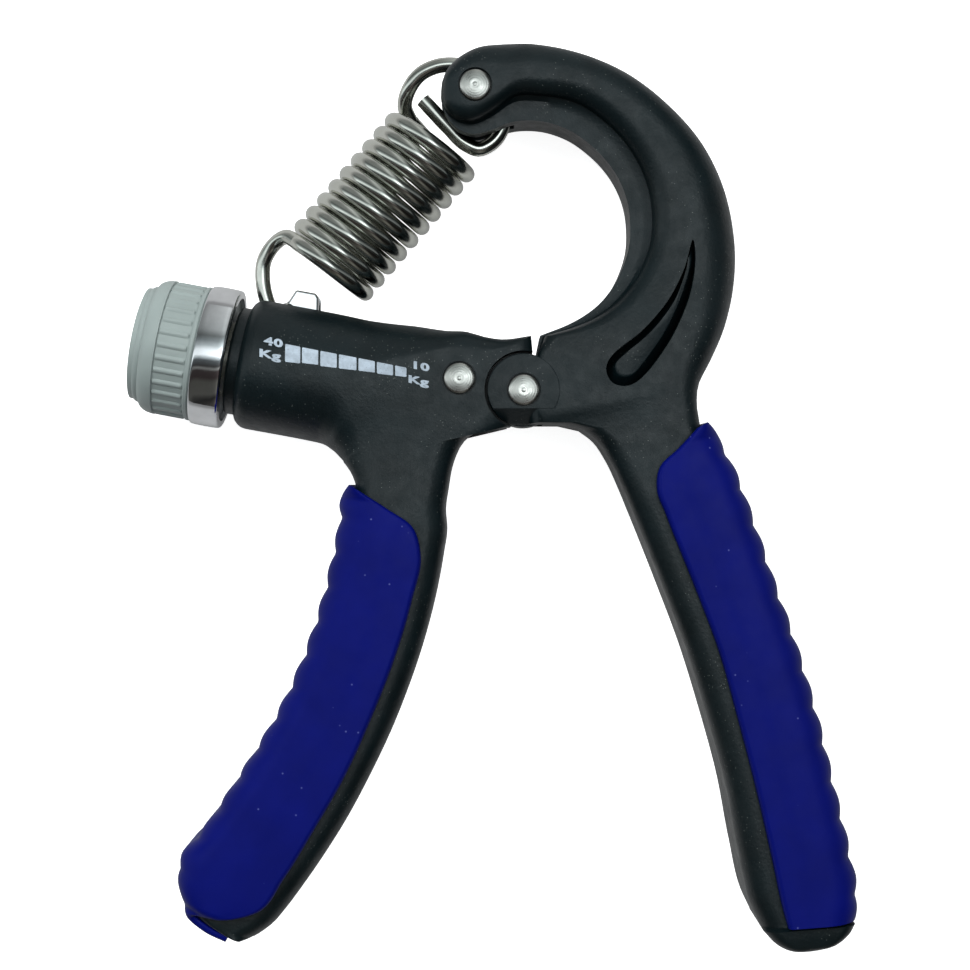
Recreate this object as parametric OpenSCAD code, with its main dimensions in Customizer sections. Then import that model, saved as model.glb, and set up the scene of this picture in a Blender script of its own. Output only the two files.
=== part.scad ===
// Adjustable hand-grip exerciser, lying flat as on a table.
// The grip's hinge axis is Z, the wide C arm is at +X, and the handles hang down towards -Y.

/* [Handles] */
// Thickness of the handles at the hinge
body_t = 17.4; // [16.6:0.1:18]
// Thickness of the C arm
arm_t = 15.8; // [15:0.1:17]
// Thickness of the handle cores under the grips
core_t = 18.8; // [18:0.1:19.6]
// Thickness over the grips
grip_t = 22; // [21:0.1:23.5]
// Rounding of the handles' long edges
edge_r = 2.2; // [1.4:0.1:2.6]
// Rounding of the legs' inner edges
leg_edge_r = 3.2; // [2:0.1:3.4]
// Height of the arm's thin inner rim
rim_t = 9.2; // [8:0.1:10]
// Depth of the leaf-shaped moat in the arm
leaf_depth = 1; // [0.3:0.1:1.4]
// Width of the moat
leaf_moat = 1.3; // [0.8:0.1:1.6]
// Drop of the leaf inside the moat below the arm's face
leaf_drop = 0.35; // [0.1:0.05:0.6]

/* [Hinge] */
// Radius of the hinge boss on both handles
boss_r = 5.3; // [4.6:0.1:5.6]
// Thickness of the tongue between the two cheeks
tongue_t = 8; // [6:0.1:9]
// Gap all round the hinge boss
boss_gap = 0.45; // [0.3:0.05:0.6]
// Side gap between the tongue and each cheek
cheek_gap = 0.1; // [0.05:0.05:0.2]

/* [Rivets] */
// Diameter of the rivet shanks
rivet_d = 3.1; // [2.6:0.1:3.4]
// Diameter of the rivet heads
rivet_head_d = 4.5; // [4:0.1:5]
// Thickness of a rivet head at its rim
rivet_head_t = 0.9; // [0.6:0.1:1.2]
// Rise of a rivet head's dome
rivet_dome = 0.3; // [0.1:0.05:0.5]
// Gap between a rivet head and its sinking
head_gap = 0.25; // [0.15:0.05:0.4]

/* [Barrel] */
// Outside diameter of the barrel
barrel_d = 19.6; // [18.6:0.1:20.4]
// Bore that the slider runs in
bore_d = 13; // [12:0.1:13.6]
// Width of the slot along the barrel's top
slot_w = 6.4; // [6:0.1:7.2]
// Travel of the slider along the screw
travel = 16; // [12:0.5:17]

/* [Adjuster] */
// Diameter of the adjusting screw
screw_d = 6; // [5.6:0.1:6.2]
// Diameter of the knob
knob_d = 20.2; // [19:0.1:20.8]
// Length of the knob beside the ring
knob_len = 8.2; // [7.4:0.1:9]
// Number of ribs round the knob
ribs = 32; // [24:1:40]
// Width of a rib
rib_w = 0.7; // [0.5:0.05:0.9]
// Rise of a rib over the knob's waist
rib_rise = 0.3; // [0.2:0.05:0.35]
// Diameter of the bright ring
ring_d = 21; // [20.8:0.1:21.6]
// Width of the bright ring
ring_w = 4.2; // [3.6:0.1:5]
// Diameter of the domed end cap
cap_d = 17.6; // [16:0.1:18]

/* [Slider] */
// Width of the slider's fork, across the slot
fork_w = 5.6; // [5:0.1:5.8]
// Length of the slider along the screw
slider_len = 7.4; // [6.6:0.1:8]
// Diameter of the cross pin in the fork
hook_pin_d = 2; // [1.6:0.1:2.2]

/* [Spring] */
// Diameter of the spring wire
wire_d = 2.25; // [1.8:0.05:2.3]
// Mean diameter of the coil
coil_d = 13.5; // [12:0.1:14]
// Number of turns
coil_turns = 10; // [7:1:10]
// Pitch of the turns at rest
coil_pitch = 2.6; // [2.4:0.02:2.7]

/* [Grips] */
// Thickness of a grip's wall on the outside of the handle
grip_wall = 2; // [1.4:0.1:2.4]
// Pitch of the ripples along the left grip
left_ripple = 5.2; // [4:0.1:8]
// Pitch of the ripples along the right grip
right_ripple = 5.6; // [4:0.1:8]
// Height of a ripple
ripple_h = 0.6; // [0.2:0.1:1]

/* [Fits] */
// Radial clearance of a running fit
run_gap = 0.05; // [0.03:0.01:0.08]
// Clearance of a fixed fit
fix_gap = 0.02; // [0.01:0.01:0.04]

/* [Hidden] */
$fn = 72;

// Colours of the pieces
black_plastic = [0.10, 0.11, 0.11];
blue_rubber = [0.07, 0.09, 0.45];
grey_plastic = [0.60, 0.63, 0.62];
bright_steel = [0.78, 0.78, 0.76];
chrome = [0.86, 0.87, 0.88];

// Where the hinge stands in the finished part's frame, whose origin is under the middle of its box
frame_x = 4.95;
frame_y = 15.42;
// A cut runs this far past the face that it opens
past = 1;

// Plan points from the hinge, in millimetres
screw_pin_at = [-9.4, 1.7];
spring_pin_at = [-7.1, 44.7];
knob_face = [-43, 4.75];
barrel_tilt = -10.5;

// Stations along the barrel, from a point in the gap beside the bright ring
ring_in_a = -0.6;
ring_out_a = ring_in_a - ring_w;
barrel_start = 1.3;
slider_start = 4.6;
hook_a = 6.6;
hook_up = 8.7;
slider_room = 1;
bore_end = slider_start + slider_len + travel + slider_room;
screw_tail = 37;
groove_w = 3.6;

rivet_r = rivet_d / 2;
head_r = rivet_head_d / 2;
wire_r = wire_d / 2;
screw_r = screw_d / 2;
hook_pin_r = hook_pin_d / 2;
barrel_r = barrel_d / 2;
coil_r = coil_d / 2;

// A point from its station along the barrel and its height over the screw
function barrel_pt(a, up) = knob_face
  + a * [cos(barrel_tilt), sin(barrel_tilt)]
  + up * [-sin(barrel_tilt), cos(barrel_tilt)];

// The screw pin's place from the screw's axis sets the groove that it holds
function station(p) = (p - knob_face) * [cos(barrel_tilt), sin(barrel_tilt)];
function height(p) = (p - knob_face) * [-sin(barrel_tilt), cos(barrel_tilt)];
groove_r = height(screw_pin_at) - rivet_r - run_gap;
groove_a = station(screw_pin_at);

// The spring's line from the slider's cross pin to the arm's pin
hook_at = barrel_pt(hook_a, hook_up);
spring_len = norm(spring_pin_at - hook_at);
spring_dir = (spring_pin_at - hook_at) / spring_len;
spring_side = [-spring_dir.y, spring_dir.x];
spring_angle = atan2(spring_dir.y, spring_dir.x);

// Rows of a handle: inner edge, outer edge, half thickness, inner and outer edge radius, rim width
// The arm from its tip round the C to the notch over the hinge
arm_h = arm_t / 2;
body_h = body_t / 2;
core_h = core_t / 2;
grip_h = grip_t / 2;
// The left grip's thin web round its handle's end
web_h = core_h - 0.8;
arm_rows = [
  [[-12.2, 43.4], [-12.0, 45.6], arm_h - 2.2, 0.7, 0.7, 0.3],
  [[-11.5, 41.0], [-11.3, 47.3], arm_h - 0.8, 1.6, 2.0, 0.6],
  [[-9.9, 39.3], [-9.5, 49.2], arm_h - 0.1, 2.2, 2.8, 0.9],
  [[-7.6, 38.6], [-6.6, 50.7], arm_h, 2.4, 3.0, 1.1],
  [[-4.7, 39.4], [-3.6, 51.2], arm_h, 2.4, 3.6, 1.6],
  [[-1.8, 39.8], [-0.5, 51.35], arm_h, 2.4, 4.2, 3.2],
  [[2.2, 39.9], [4.0, 50.9], arm_h, 2.4, 4.6, 3.6],
  [[6.2, 38.8], [9.2, 49.6], arm_h, 2.6, 5.0, 4.0],
  [[10.0, 36.3], [15.4, 46.9], arm_h, 2.8, 5.4, 4.0],
  [[13.2, 32.8], [21.4, 42.4], arm_h, 2.8, 5.6, 3.8],
  [[15.2, 28.6], [26.6, 36.6], arm_h, 2.8, 5.6, 3.6],
  [[15.8, 24.2], [30.0, 29.6], arm_h, 2.8, 5.6, 3.4],
  [[15.3, 20.0], [31.5, 21.6], arm_h, 2.8, 5.6, 3.0],
  [[13.5, 15.8], [31.2, 15.2], arm_h + 0.1, 2.6, 5.2, 2.6],
  [[10.6, 12.3], [29.8, 9.4], arm_h + 0.3, 2.6, 4.6, 2.0],
  [[6.6, 9.8], [27.8, 4.8], arm_h + 0.5, 2.4, 4.0, 1.4],
  [[2.5, 8.2], [26.4, 2.2], body_h, 1.6, 3.4, 0.8]
];
// The plain stretch beside the hinge boss, down to the crotch
hinge_rows = [
  [[2.0, boss_r + 0.3], [25.9, 1.2], body_h, 0.8, 3.0, 0.3],
  [[0.8, 1.0], [25.6, 0.0], body_h, 0.8, 2.8, 0],
  [[0.8, 0.1 - boss_r], [25.5, -1.4], body_h, edge_r, 2.6, 0],
  [[5.4, 0.1 - boss_r], [25.5, -2.6], body_h, edge_r, edge_r, 0]
];
// The foot under the right grip's end
foot_rows = [
  [[35.0, -79.0], [48.4, -77.9], grip_h - 0.8, edge_r, edge_r, 0],
  [[36.8, -80.9], [47.6, -79.4], grip_h - 1.0, edge_r, edge_r, 0],
  [[39.0, -82.0], [45.8, -81.0], grip_h - 1.6, 1.8, 1.8, 0],
  [[40.8, -82.2], [44.2, -81.7], grip_h - 2.8, 1.2, 1.2, 0]
];
// Rows of a leg under its grip: core's inner edge, grip's lip, grip's outer edge and its wall
// A row can go on with the grip's half thickness and how much of a ripple it has
right_leg = [
  [[8.6, -5.7], [25.2, -5.6], [27.0, -4.6], 1.2],
  [[10.8, -7.4], [22.4, -8.6], [28.8, -7.6], grip_wall - 0.3],
  [[12.8, -10.4], [19.8, -11.2], [30.4, -10.6], grip_wall],
  [[14.4, -13.8], [19.3, -14.4], [31.8, -13.8], grip_wall],
  [[16.3, -18.4], [20.7, -18.4], [33.4, -18.2], grip_wall],
  [[20.2, -28.2], [24.6, -28.2], [36.8, -28.2], grip_wall],
  [[23.9, -38.0], [28.3, -38.0], [40.2, -38.0], grip_wall],
  [[27.0, -48.0], [31.1, -48.0], [43.1, -48.0], grip_wall],
  [[29.7, -58.0], [33.7, -58.0], [45.5, -58.0], grip_wall],
  [[31.6, -68.0], [36.0, -68.0], [47.8, -68.0], grip_wall],
  [[33.4, -75.6], [37.6, -75.4], [48.8, -74.6], grip_wall],
  [[34.8, -78.6], [38.4, -78.3], [48.4, -77.5], grip_wall]
];
left_leg = [
  [[-11.2, -14.5], [-24.0, -14.7], [-25.7, -13.7], 1.2],
  [[-11.6, -17.5], [-19.8, -17.4], [-26.8, -16.8], grip_wall - 0.3],
  [[-11.4, -20.5], [-16.2, -20.0], [-27.0, -19.6], grip_wall],
  [[-11.9, -24.2], [-15.0, -24.0], [-27.8, -23.6], grip_wall],
  [[-13.1, -30.6], [-16.3, -30.8], [-29.4, -30.4], grip_wall],
  [[-15.2, -38.5], [-18.6, -38.6], [-32.0, -38.4], grip_wall],
  [[-18.4, -47.5], [-22.0, -47.4], [-36.0, -47.2], grip_wall],
  [[-22.4, -56.2], [-26.0, -56.2], [-41.2, -55.8], grip_wall],
  [[-27.0, -64.6], [-30.6, -64.2], [-46.4, -63.6], grip_wall],
  [[-32.2, -72.4], [-34.8, -71.0], [-50.2, -68.6], grip_wall],
  [[-35.2, -76.4], [-38.4, -75.8], [-50.6, -72.0], grip_wall, grip_h, 0.4],
  [[-37.0, -78.4], [-44.0, -77.1], [-49.9, -74.9], 1.6, grip_h - 0.3, 0],
  [[-38.8, -79.7], [-47.9, -76.7], [-48.9, -77.5], 1.2, web_h, 0],
  [[-40.2, -80.3], [-45.7, -78.5], [-46.4, -79.4], 1.1, web_h, 0],
  [[-41.4, -80.5], [-43.2, -79.7], [-43.6, -80.7], 1, web_h, 0]
];
// The barrel from its mouth, then a fan of rows about the corner under it, round the hinge to the leg
// A row of the fan ends with its lift, by which it is thicker along its first edge
mouth_r = 1.4;
barrel_rows = [
  barrel_row(barrel_start, barrel_r - mouth_r),
  barrel_row(barrel_start + 0.4, barrel_r - 0.6),
  barrel_row(barrel_start + mouth_r, barrel_r - 0.1),
  barrel_row(barrel_start + 3, barrel_r),
  barrel_row(12, barrel_r),
  [[-29.6, -7.9], barrel_pt(21, barrel_r), barrel_r - 0.2, 8.0, 8.6],
  [[-28.6, -8.5], barrel_pt(26, barrel_r + 0.1), body_h + 0.6, 6.0, 7.2, 0.3],
  [[-27.8, -9.1], barrel_pt(30.5, barrel_r + 0.1), body_h + 0.2, 5.0, 4.6, 0.6],
  [[-27.3, -9.6], [-8.4, 8.7], body_h, 4.4, 3.0, 0.8],
  [[-27.0, -9.9], [-5.8, 7.9], body_h, 4, edge_r, 0.8],
  [[-26.7, -10.2], [-3.2, 7.5], body_h, 3.7, 2.0, 0.75],
  [[-26.5, -10.5], [1.2, 8.2], body_h, 3.4, 1.6, 0.75],
  [[-26.2, -10.9], [-1.9, 0.1 - boss_r], body_h, 3.1, edge_r, 0.75],
  [[-25.9, -11.3], [-4.0, -boss_r], body_h, 2.9, edge_r, 0.7],
  [[-25.6, -11.7], [-6.2, -0.2 - boss_r], body_h, 2.7, edge_r, 0.7],
  [[-25.3, -12.2], [-8.8, -7.2], body_h + 0.2, 2.6, 2.4, 0.5],
  [[-24.9, -13.1], [-10.4, -10.4], body_h + 0.4, 2.5, 2.8, 0.3]
];
function barrel_row(a, r) = [barrel_pt(a, -r), barrel_pt(a, r), r, r - 0.2, r - 0.2];

// The leaf-shaped moat: its point, pairs of outer and inner edge down from it, and its round end
leaf_tip = [24.7, 22.0];
leaf_pairs = [
  [[25.1, 18.6], [23.4, 17.6]], [[24.2, 13.6], [21.0, 13.0]],
  [[21.8, 8.0], [17.4, 8.8]], [[18.4, 3.0], [13.4, 5.6]]
];
leaf_end = [[15.6, 0.7], [13.0, 1.0], [12.0, 3.2]];
leaf_heart = [15.8, 4.3];

// A smooth curve through hand-set rows, as uniform cubic pieces
function cubic(a, b, c, d, t) = b + 0.5 * t * ((c - a)
  + t * ((2 * a - 5 * b + 4 * c - d) + t * (3 * (b - c) + d - a)));
function piece(rows, i, t) = let(last = len(rows) - 1) cubic(
  i > 0 ? rows[i - 1] : 2 * rows[0] - rows[1],
  rows[i],
  rows[i + 1],
  i + 1 < last ? rows[i + 2] : 2 * rows[last] - rows[last - 1],
  t);
// Stations about one step apart, measured along the edge in column key
function steps(rows, i, key, step) = max(1, round(norm(rows[i + 1][key] - rows[i][key]) / step));
function stations(rows, key, step) = concat(
  [for (i = [0:len(rows) - 2]) let(n = steps(rows, i, key, step)) for (k = [0:n - 1]) piece(rows, i, k / n)],
  [rows[len(rows) - 1]]);
function closed_curve(p, n) = let(m = len(p)) [for (i = [0:m - 1]) for (k = [0:n - 1])
  cubic(p[(i + m - 1) % m], p[i], p[(i + 1) % m], p[(i + 2) % m], k / n)];

// Quarter-round corner, from its start at 0 to its end at 1
corner_steps = 4;
function corner(k) = 90 * k / corner_steps;
corners = [for (k = [0:corner_steps]) corner(k)];

// Cross-section of a plain leg or barrel, as [distance from the inner edge, height]
function plate_section(w, h, r1, r2) = let(ri = min(r1, 0.45 * w), ro = min(r2, 0.45 * w)) concat(
  [for (t = corners) [ri - ri * cos(t), h - ri + ri * sin(t)]],
  [for (t = corners) [w - ro + ro * sin(t), h - ro + ro * cos(t)]],
  [for (t = corners) [w - ro + ro * cos(t), ro - h - ro * sin(t)]],
  [for (t = corners) [ri - ri * sin(t), ri - h - ri * cos(t)]]);
// The same with a thin rim of width rim along its inner edge
rim_rise = 0.9;
rim_full = 1.5;
function rim_section(w, h, ri, ro, rim) =
  let(
    low = rim_t / 2,
    high = min(low + rim_rise * max(0, 1 - rim / rim_full), h - ri - 0.1))
  concat(
    [[0, low], [rim, high]],
    [for (p = plate_section(w - rim, h, ri, ro)) [p.x + rim, p.y]],
    [[rim, -high], [0, -low]]);
// Puts a section on the line from one plan point to another
function on_line(section, from, to) = let(dir = (to - from) / norm(to - from))
  [for (p = section) concat(from + dir * p.x, [p.y])];
function plate_ring(r) = let(w = norm(r[1] - r[0])) on_line(
  lifted(plate_section(w, r[2], r[3], r[4]), w, len(r) > 5 ? r[5] / r[2] : 0), r[0], r[1]);
// Thickens a section along its first edge, fading out by its middle
function lifted(section, w, share) = [for (p = section) [p.x, p.y * (1 + share * pow(max(0, 1 - 2 * p.x / w), 2))]];
function rim_ring(r) = on_line(
  rim_section(norm(r[1] - r[0]), r[2], r[3], r[4], max(0, r[5])), r[0], r[1]);

// A solid through a row of closed rings, with its ends closed round their middles
function middle(ring) = [for (i = [0:2]) (min([for (p = ring) p[i]]) + max([for (p = ring) p[i]])) / 2];
function wall_faces(n, m) = [for (i = [0:n - 2]) for (j = [0:m - 1])
  let(a = i * m + j, b = i * m + (j + 1) % m)
  each [[a, b + m, a + m], [a, b, b + m]]];
module loft(rings) {
  n = len(rings);
  m = len(rings[0]);
  points = concat([for (r = rings) each r], [middle(rings[0]), middle(rings[n - 1])]);
  first_cap = [for (j = [0:m - 1]) [n * m, (j + 1) % m, j]];
  last_cap = [for (j = [0:m - 1]) [n * m + 1, (n - 1) * m + j, (n - 1) * m + (j + 1) % m]];
  polyhedron(points, concat(wall_faces(n, m), first_cap, last_cap));
}

// A solid through rings that are an outer and an inner path, with strips across its ends
module sleeve(rings) {
  n = len(rings);
  m = len(rings[0]);
  half = m / 2;
  strip = [for (k = [0:half - 2]) each [
    [k, m - 2 - k, k + 1],
    [k, m - 1 - k, m - 2 - k]]];
  end = (n - 1) * m;
  last = [for (f = strip) [end + f[0], end + f[2], end + f[1]]];
  polyhedron([for (r = rings) each r], concat(wall_faces(n, m), strip, last));
}

// A round wire along a path, with ref across the path all the way
wire_sides = 8;
function unit(v) = v / norm(v);
function heading(path, i) = unit(path[min(i + 1, len(path) - 1)] - path[max(i - 1, 0)]);
module wire(path, ref) {
  loft([for (i = [0:len(path) - 1])
    let(u = unit(cross(heading(path, i), ref)), v = cross(u, heading(path, i)))
    [for (k = [0:wire_sides - 1]) path[i]
      + wire_r * (u * cos(360 * k / wire_sides) + v * sin(360 * k / wire_sides))]]);
}

// Length run along a list of points, up to each one
function runs(p) = [for (i = 0, s = 0; i < len(p); s = s + (i + 1 < len(p) ? norm(p[i + 1] - p[i]) : 0), i = i + 1) s];

// Places: the part's frame, the barrel's own axis, and the barrel's side view
module in_frame() translate([frame_x, frame_y, grip_h]) children();
module on_barrel() translate(concat(knob_face, [0])) rotate([0, 0, barrel_tilt]) rotate([0, 90, 0]) children();
module beside_barrel() translate(concat(knob_face, [0])) rotate([0, 0, barrel_tilt]) children();
module both_faces() {
  children();
  mirror([0, 0, 1]) children();
}

// A rod along the barrel's axis between two stations
module rod(r, a1, a2) on_barrel() translate([0, 0, a1]) cylinder(r = r, h = a2 - a1);
// A pin's hole through a piece of half thickness h, with a sinking for the head at both faces
module rivet_hole(at, r, h) translate(concat(at, [0])) {
  cylinder(r = r, h = 2 * (h + past), center = true);
  both_faces() translate([0, 0, h - rivet_head_t]) cylinder(r = head_r + head_gap, h = rivet_head_t + 2 * past);
}
// A rivet with a domed head at both ends, through a piece of half thickness h
module rivet(at, h) translate(concat(at, [0])) rotate_extrude() polygon(concat(
  [[0, -h - rivet_dome]],
  [for (t = [80:-20:20]) [head_r * cos(t), -h - rivet_dome * sin(t)]],
  [[head_r, -h], [head_r, rivet_head_t - h], [rivet_r, rivet_head_t - h]],
  [[rivet_r, h - rivet_head_t], [head_r, h - rivet_head_t], [head_r, h]],
  [for (t = [20:20:80]) [head_r * cos(t), h + rivet_dome * sin(t)]],
  [[0, h + rivet_dome]]));

// Handle cores: the core's outer edge lies inside the grip's by the grip's wall
function core_outer(r) = r[2] + unit(r[1] - r[2]) * (r[3] + fix_gap);
function core_row(r) = [r[0], core_outer(r), core_h, leg_edge_r, 2.4, 0];
core_step = 2.6;

module left_handle() color(black_plastic) in_frame() difference() {
  union() {
    loft(concat(
      [for (r = barrel_rows) plate_ring(r)],
      [for (r = stations(plain_rows(left_leg), 2, core_step)) plate_ring(turned(core_row(r)))]));
    cylinder(r = boss_r, h = body_t - 2 * past, center = true);
  }
  both_faces() translate([0, 0, tongue_t / 2]) cylinder(r = boss_r + boss_gap, h = body_t);
  rivet_hole(screw_pin_at, rivet_r + fix_gap, body_h);
  cylinder(r = rivet_r + run_gap, h = body_t, center = true);
  rod(bore_d / 2, barrel_start - past, bore_end);
  rod(screw_r + run_gap, bore_end - past, screw_tail + 0.5);
  beside_barrel() translate([barrel_start - past, 0, -slot_w / 2]) cube([bore_end - barrel_start, barrel_r + 2, slot_w]);
}
function plain_rows(leg) = [for (r = leg) [r[0], r[1], r[2], r[3]]];
function turned(r) = [r[1], r[0], r[2], r[4], r[3]];

// The cheeks stand a hair over the handle's faces
boss_rise = 0.05;
module right_handle() color(black_plastic) in_frame() difference() {
  union() {
    loft(concat(
      [for (r = stations(arm_rows, 1, core_step)) rim_ring(r)],
      [for (r = hinge_rows) rim_ring(r)],
      [for (r = stations(right_leg, 2, core_step)) rim_ring(core_row(r))],
      [for (r = foot_rows) rim_ring(r)]));
    cylinder(r = boss_r, h = body_t + 2 * boss_rise, center = true);
  }
  cylinder(r = boss_r + boss_gap, h = tongue_t + 2 * cheek_gap, center = true);
  rivet_hole([0, 0], rivet_r + fix_gap, body_h);
  rivet_hole(spring_pin_at, rivet_r + fix_gap, arm_h);
  eye_slot();
  both_faces() leaf();
}
// A moat round a leaf that lies a little below the arm's face
leaf_smooth = 3;
leaf_rise = 0.1;
leaf_share = 0.34;
function toward(a, b) = a + unit(b - a) * min(leaf_moat, leaf_share * norm(b - a));
leaf_outline = concat(
  [leaf_tip], [for (p = leaf_pairs) p[0]], leaf_end, reversed([for (p = leaf_pairs) p[1]]));
leaf_island = concat(
  [for (p = leaf_pairs) toward(p[0], p[1])],
  [for (p = leaf_end) toward(p, leaf_heart)],
  reversed([for (p = leaf_pairs) toward(p[1], p[0])]));
module leaf() translate([0, 0, arm_h + leaf_rise]) difference() {
  translate([0, 0, -leaf_depth]) linear_extrude(height = leaf_depth + past)
    polygon(closed_curve(leaf_outline, leaf_smooth));
  translate([0, 0, -leaf_depth - past]) linear_extrude(height = leaf_depth + past - leaf_drop)
    polygon(closed_curve(leaf_island, leaf_smooth));
}

// The slot in the arm's tip that the spring's eye swings in
eye_slot_back = 2.2;
eye_slot_r = 8.6;
eye_slot_gap = 0.35;
module eye_slot() translate(concat(spring_pin_at - eye_slot_back * spring_dir, [0]))
  cylinder(r = eye_slot_r, h = wire_d + 2 * eye_slot_gap, center = true);

// Grips: a rippled sleeve round the outside of a core, open along the inside of the handle
lip_r = 0.8;
grip_edge_r = 4.4;
cavity_r = 1.9;
lip_steps = 2;
grip_corner_steps = 3;
// A ripple's rise fades out round the corner towards the flat face
ripple_fade = 3;
function grip_half_outer(w, h, rise) = let(lip = min(lip_r, w / 4), r = min(grip_edge_r, w - lip - 0.1)) concat(
  [for (k = [0:lip_steps]) let(t = 90 * k / lip_steps) [lip - lip * cos(t), h - lip + lip * sin(t)]],
  [for (k = [0:grip_corner_steps]) let(t = 90 * k / grip_corner_steps)
    [w - r + r * sin(t) + rise * pow(sin(t), ripple_fade), h - r + r * cos(t)]]);
function grip_half_inner(c, z) = let(r = min(cavity_r, c / 2)) concat(
  [for (k = [0:lip_steps]) [min(lip_r, c / 3) * k / lip_steps, z]],
  [for (k = [0:grip_corner_steps]) let(t = 90 * k / grip_corner_steps) [c - r + r * sin(t), z - r + r * cos(t)]]);
function mirrored(half) = concat(half, [for (i = [len(half) - 1:-1:0]) [half[i].x, -half[i].y]]);
function reversed(p) = [for (i = [len(p) - 1:-1:0]) p[i]];
function grip_ring(r, rise) = let(c = max(0.02, norm(r[2] - r[1]) - r[3])) on_line(concat(
    mirrored(grip_half_outer(norm(r[2] - r[1]), min(grip_h, r[4]), rise)),
    reversed(mirrored(grip_half_inner(c, min(grip_h, r[4]) - grip_h + core_h + fix_gap)))), r[1], r[2]);
function full_row(r) = [r[0], r[1], r[2], r[3], len(r) > 4 ? r[4] : grip_h, len(r) > 4 ? r[5] : 1];
ripple_steps = 4;
module grip(leg, pitch) {
  rows = stations([for (r = leg) full_row(r)], 2, pitch / ripple_steps);
  run = runs([for (r = rows) r[2]]);
  loft_rows = [for (i = [0:len(rows) - 1])
    grip_ring(rows[i], ripple_h * rows[i][5] * (abs(sin(180 * run[i] / pitch)) - 0.5))];
  sleeve(loft_rows);
}
module left_grip() color(blue_rubber) in_frame() mirror([1, 0, 0]) grip(flipped(left_leg), left_ripple);
module right_grip() color(blue_rubber) in_frame() grip(right_leg, right_ripple);
function flipped(leg) = [for (r = leg) [for (v = r) is_list(v) ? [-v.x, v.y] : v]];

module pivot_rivet() color(bright_steel) in_frame() rivet([0, 0], body_h);
module screw_pin() color(bright_steel) in_frame() rivet(screw_pin_at, body_h);
module spring_pin() color(bright_steel) in_frame() rivet(spring_pin_at, arm_h);

// Spring: points are [along the spring's line, to its upper left side, height]
coil_start = 8.2;
coil_end = coil_start + coil_turns * coil_pitch;
leave_turn = 40;
coil_segments = 16;
function spring_pt(p) = concat(hook_at + p.x * spring_dir + p.y * spring_side, [p.z]);
function coil_pt(angle) = [coil_start + coil_pitch * angle / 360, coil_r * cos(angle), coil_r * sin(angle)];
// The lower hook's bend lies on the cross pin, and swings about its own middle
hook_swing = 4;
hook_bend_r = hook_swing + hook_pin_r + wire_r + run_gap;
function hook_bend(angle) = [hook_swing - hook_bend_r * cos(angle), hook_bend_r * sin(angle), 0];
eye_gap = 0.1;
eye_reach = spring_len + rivet_r + wire_r + eye_gap;
// The hooks start a hair off the ends of the coil, as a turn in degrees
join_turn = 2.4;
lower_hook_path = concat(
  [coil_pt(leave_turn - join_turn), [coil_start - 0.1, coil_r + 0.6, 2.4], [6.2, 8.2, 0.9], [3.2, 7.8, 0.2], [0.8, 6.0, 0]],
  [for (t = [35:-15:-25]) hook_bend(t)],
  [[-0.4, -3.8, 0]]);
upper_hook_path = [
  coil_pt(360 * coil_turns - leave_turn + join_turn), [coil_end + 0.7, coil_r + 0.5, -2.2],
  [spring_len - 5.8, 8.2, -0.8], [spring_len - 3.2, 8.3, -0.2], [spring_len - 0.5, 7.1, 0],
  [spring_len + 1.8, 4.5, 0], [eye_reach, 0.8, 0], [spring_len + 2.1, -2.6, 0], [spring_len + 0.4, -5.2, 0],
  [spring_len - 1.8, -6.5, 0], [spring_len - 4.2, -6.6, 0.1], [spring_len - 6.0, -5.7, 0.2],
  [spring_len - 6.6, -4.0, 0.3], [spring_len - 6.4, 0, 0.3], [spring_len - 5.8, 5.4, 0.3]
];
hook_step = 1.4;
function smooth_path(p) = [for (q = stations([for (v = p) [v]], 0, hook_step)) spring_pt(q[0])];
module spring_lower_hook() color(bright_steel) in_frame() wire(smooth_path(lower_hook_path), [0.3, -0.25, 1]);
module spring_upper_hook() color(bright_steel) in_frame() wire(smooth_path(upper_hook_path), [0.3, -0.25, 1]);
module spring_coil() color(bright_steel) in_frame() wire(
  [for (k = [0:coil_segments * coil_turns])
    spring_pt(coil_pt(leave_turn + (360 * coil_turns - 2 * leave_turn) * k / (coil_segments * coil_turns)))],
  concat(spring_dir, [0]));

// Adjuster: stations along the barrel's axis, which runs away from the knob
washer_t = 0.8;
washer_r = 5.6;
flange_t = 1.7;
knob_boss_a = -washer_t - flange_t + barrel_start - 2 * run_gap;
knob_end_a = ring_out_a - knob_len;
cap_edge = 1.2;
cap_dome = 1.1;
end_screw_r = 1.2;
end_screw_len = 6;
end_screw_head_r = 2.6;
end_screw_head_t = 1.6;
cap_depth = 2.4;
// The knob's shoulder is rounded over most of the wall round the cap
shoulder_r = min(0.8, 0.8 * (knob_d - cap_d) / 2);
screw_end_a = knob_end_a + cap_depth + end_screw_head_t;

module adjusting_screw() color(bright_steel) in_frame() difference() {
  rod(screw_r, screw_end_a, screw_tail);
  on_barrel() translate([0, 0, groove_a - groove_w / 2]) rotate_extrude()
    translate([groove_r, 0]) square([screw_r, groove_w]);
  rod(end_screw_r + fix_gap, screw_end_a - past, screw_end_a + end_screw_len);
}

// The slider's lug: its back, sloping nape, top and front stand over the slot, from the slider's own back
lug_nape = 8;
lug_top = 11.9;
lug_top_from = 2.2;
lug_top_to = 5.2;
lug_front = 5.9;
lug_chin = 8.6;
lug_throat = 6;
lug_bevel = 0.7;
nape_bow = 0.45;
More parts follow.
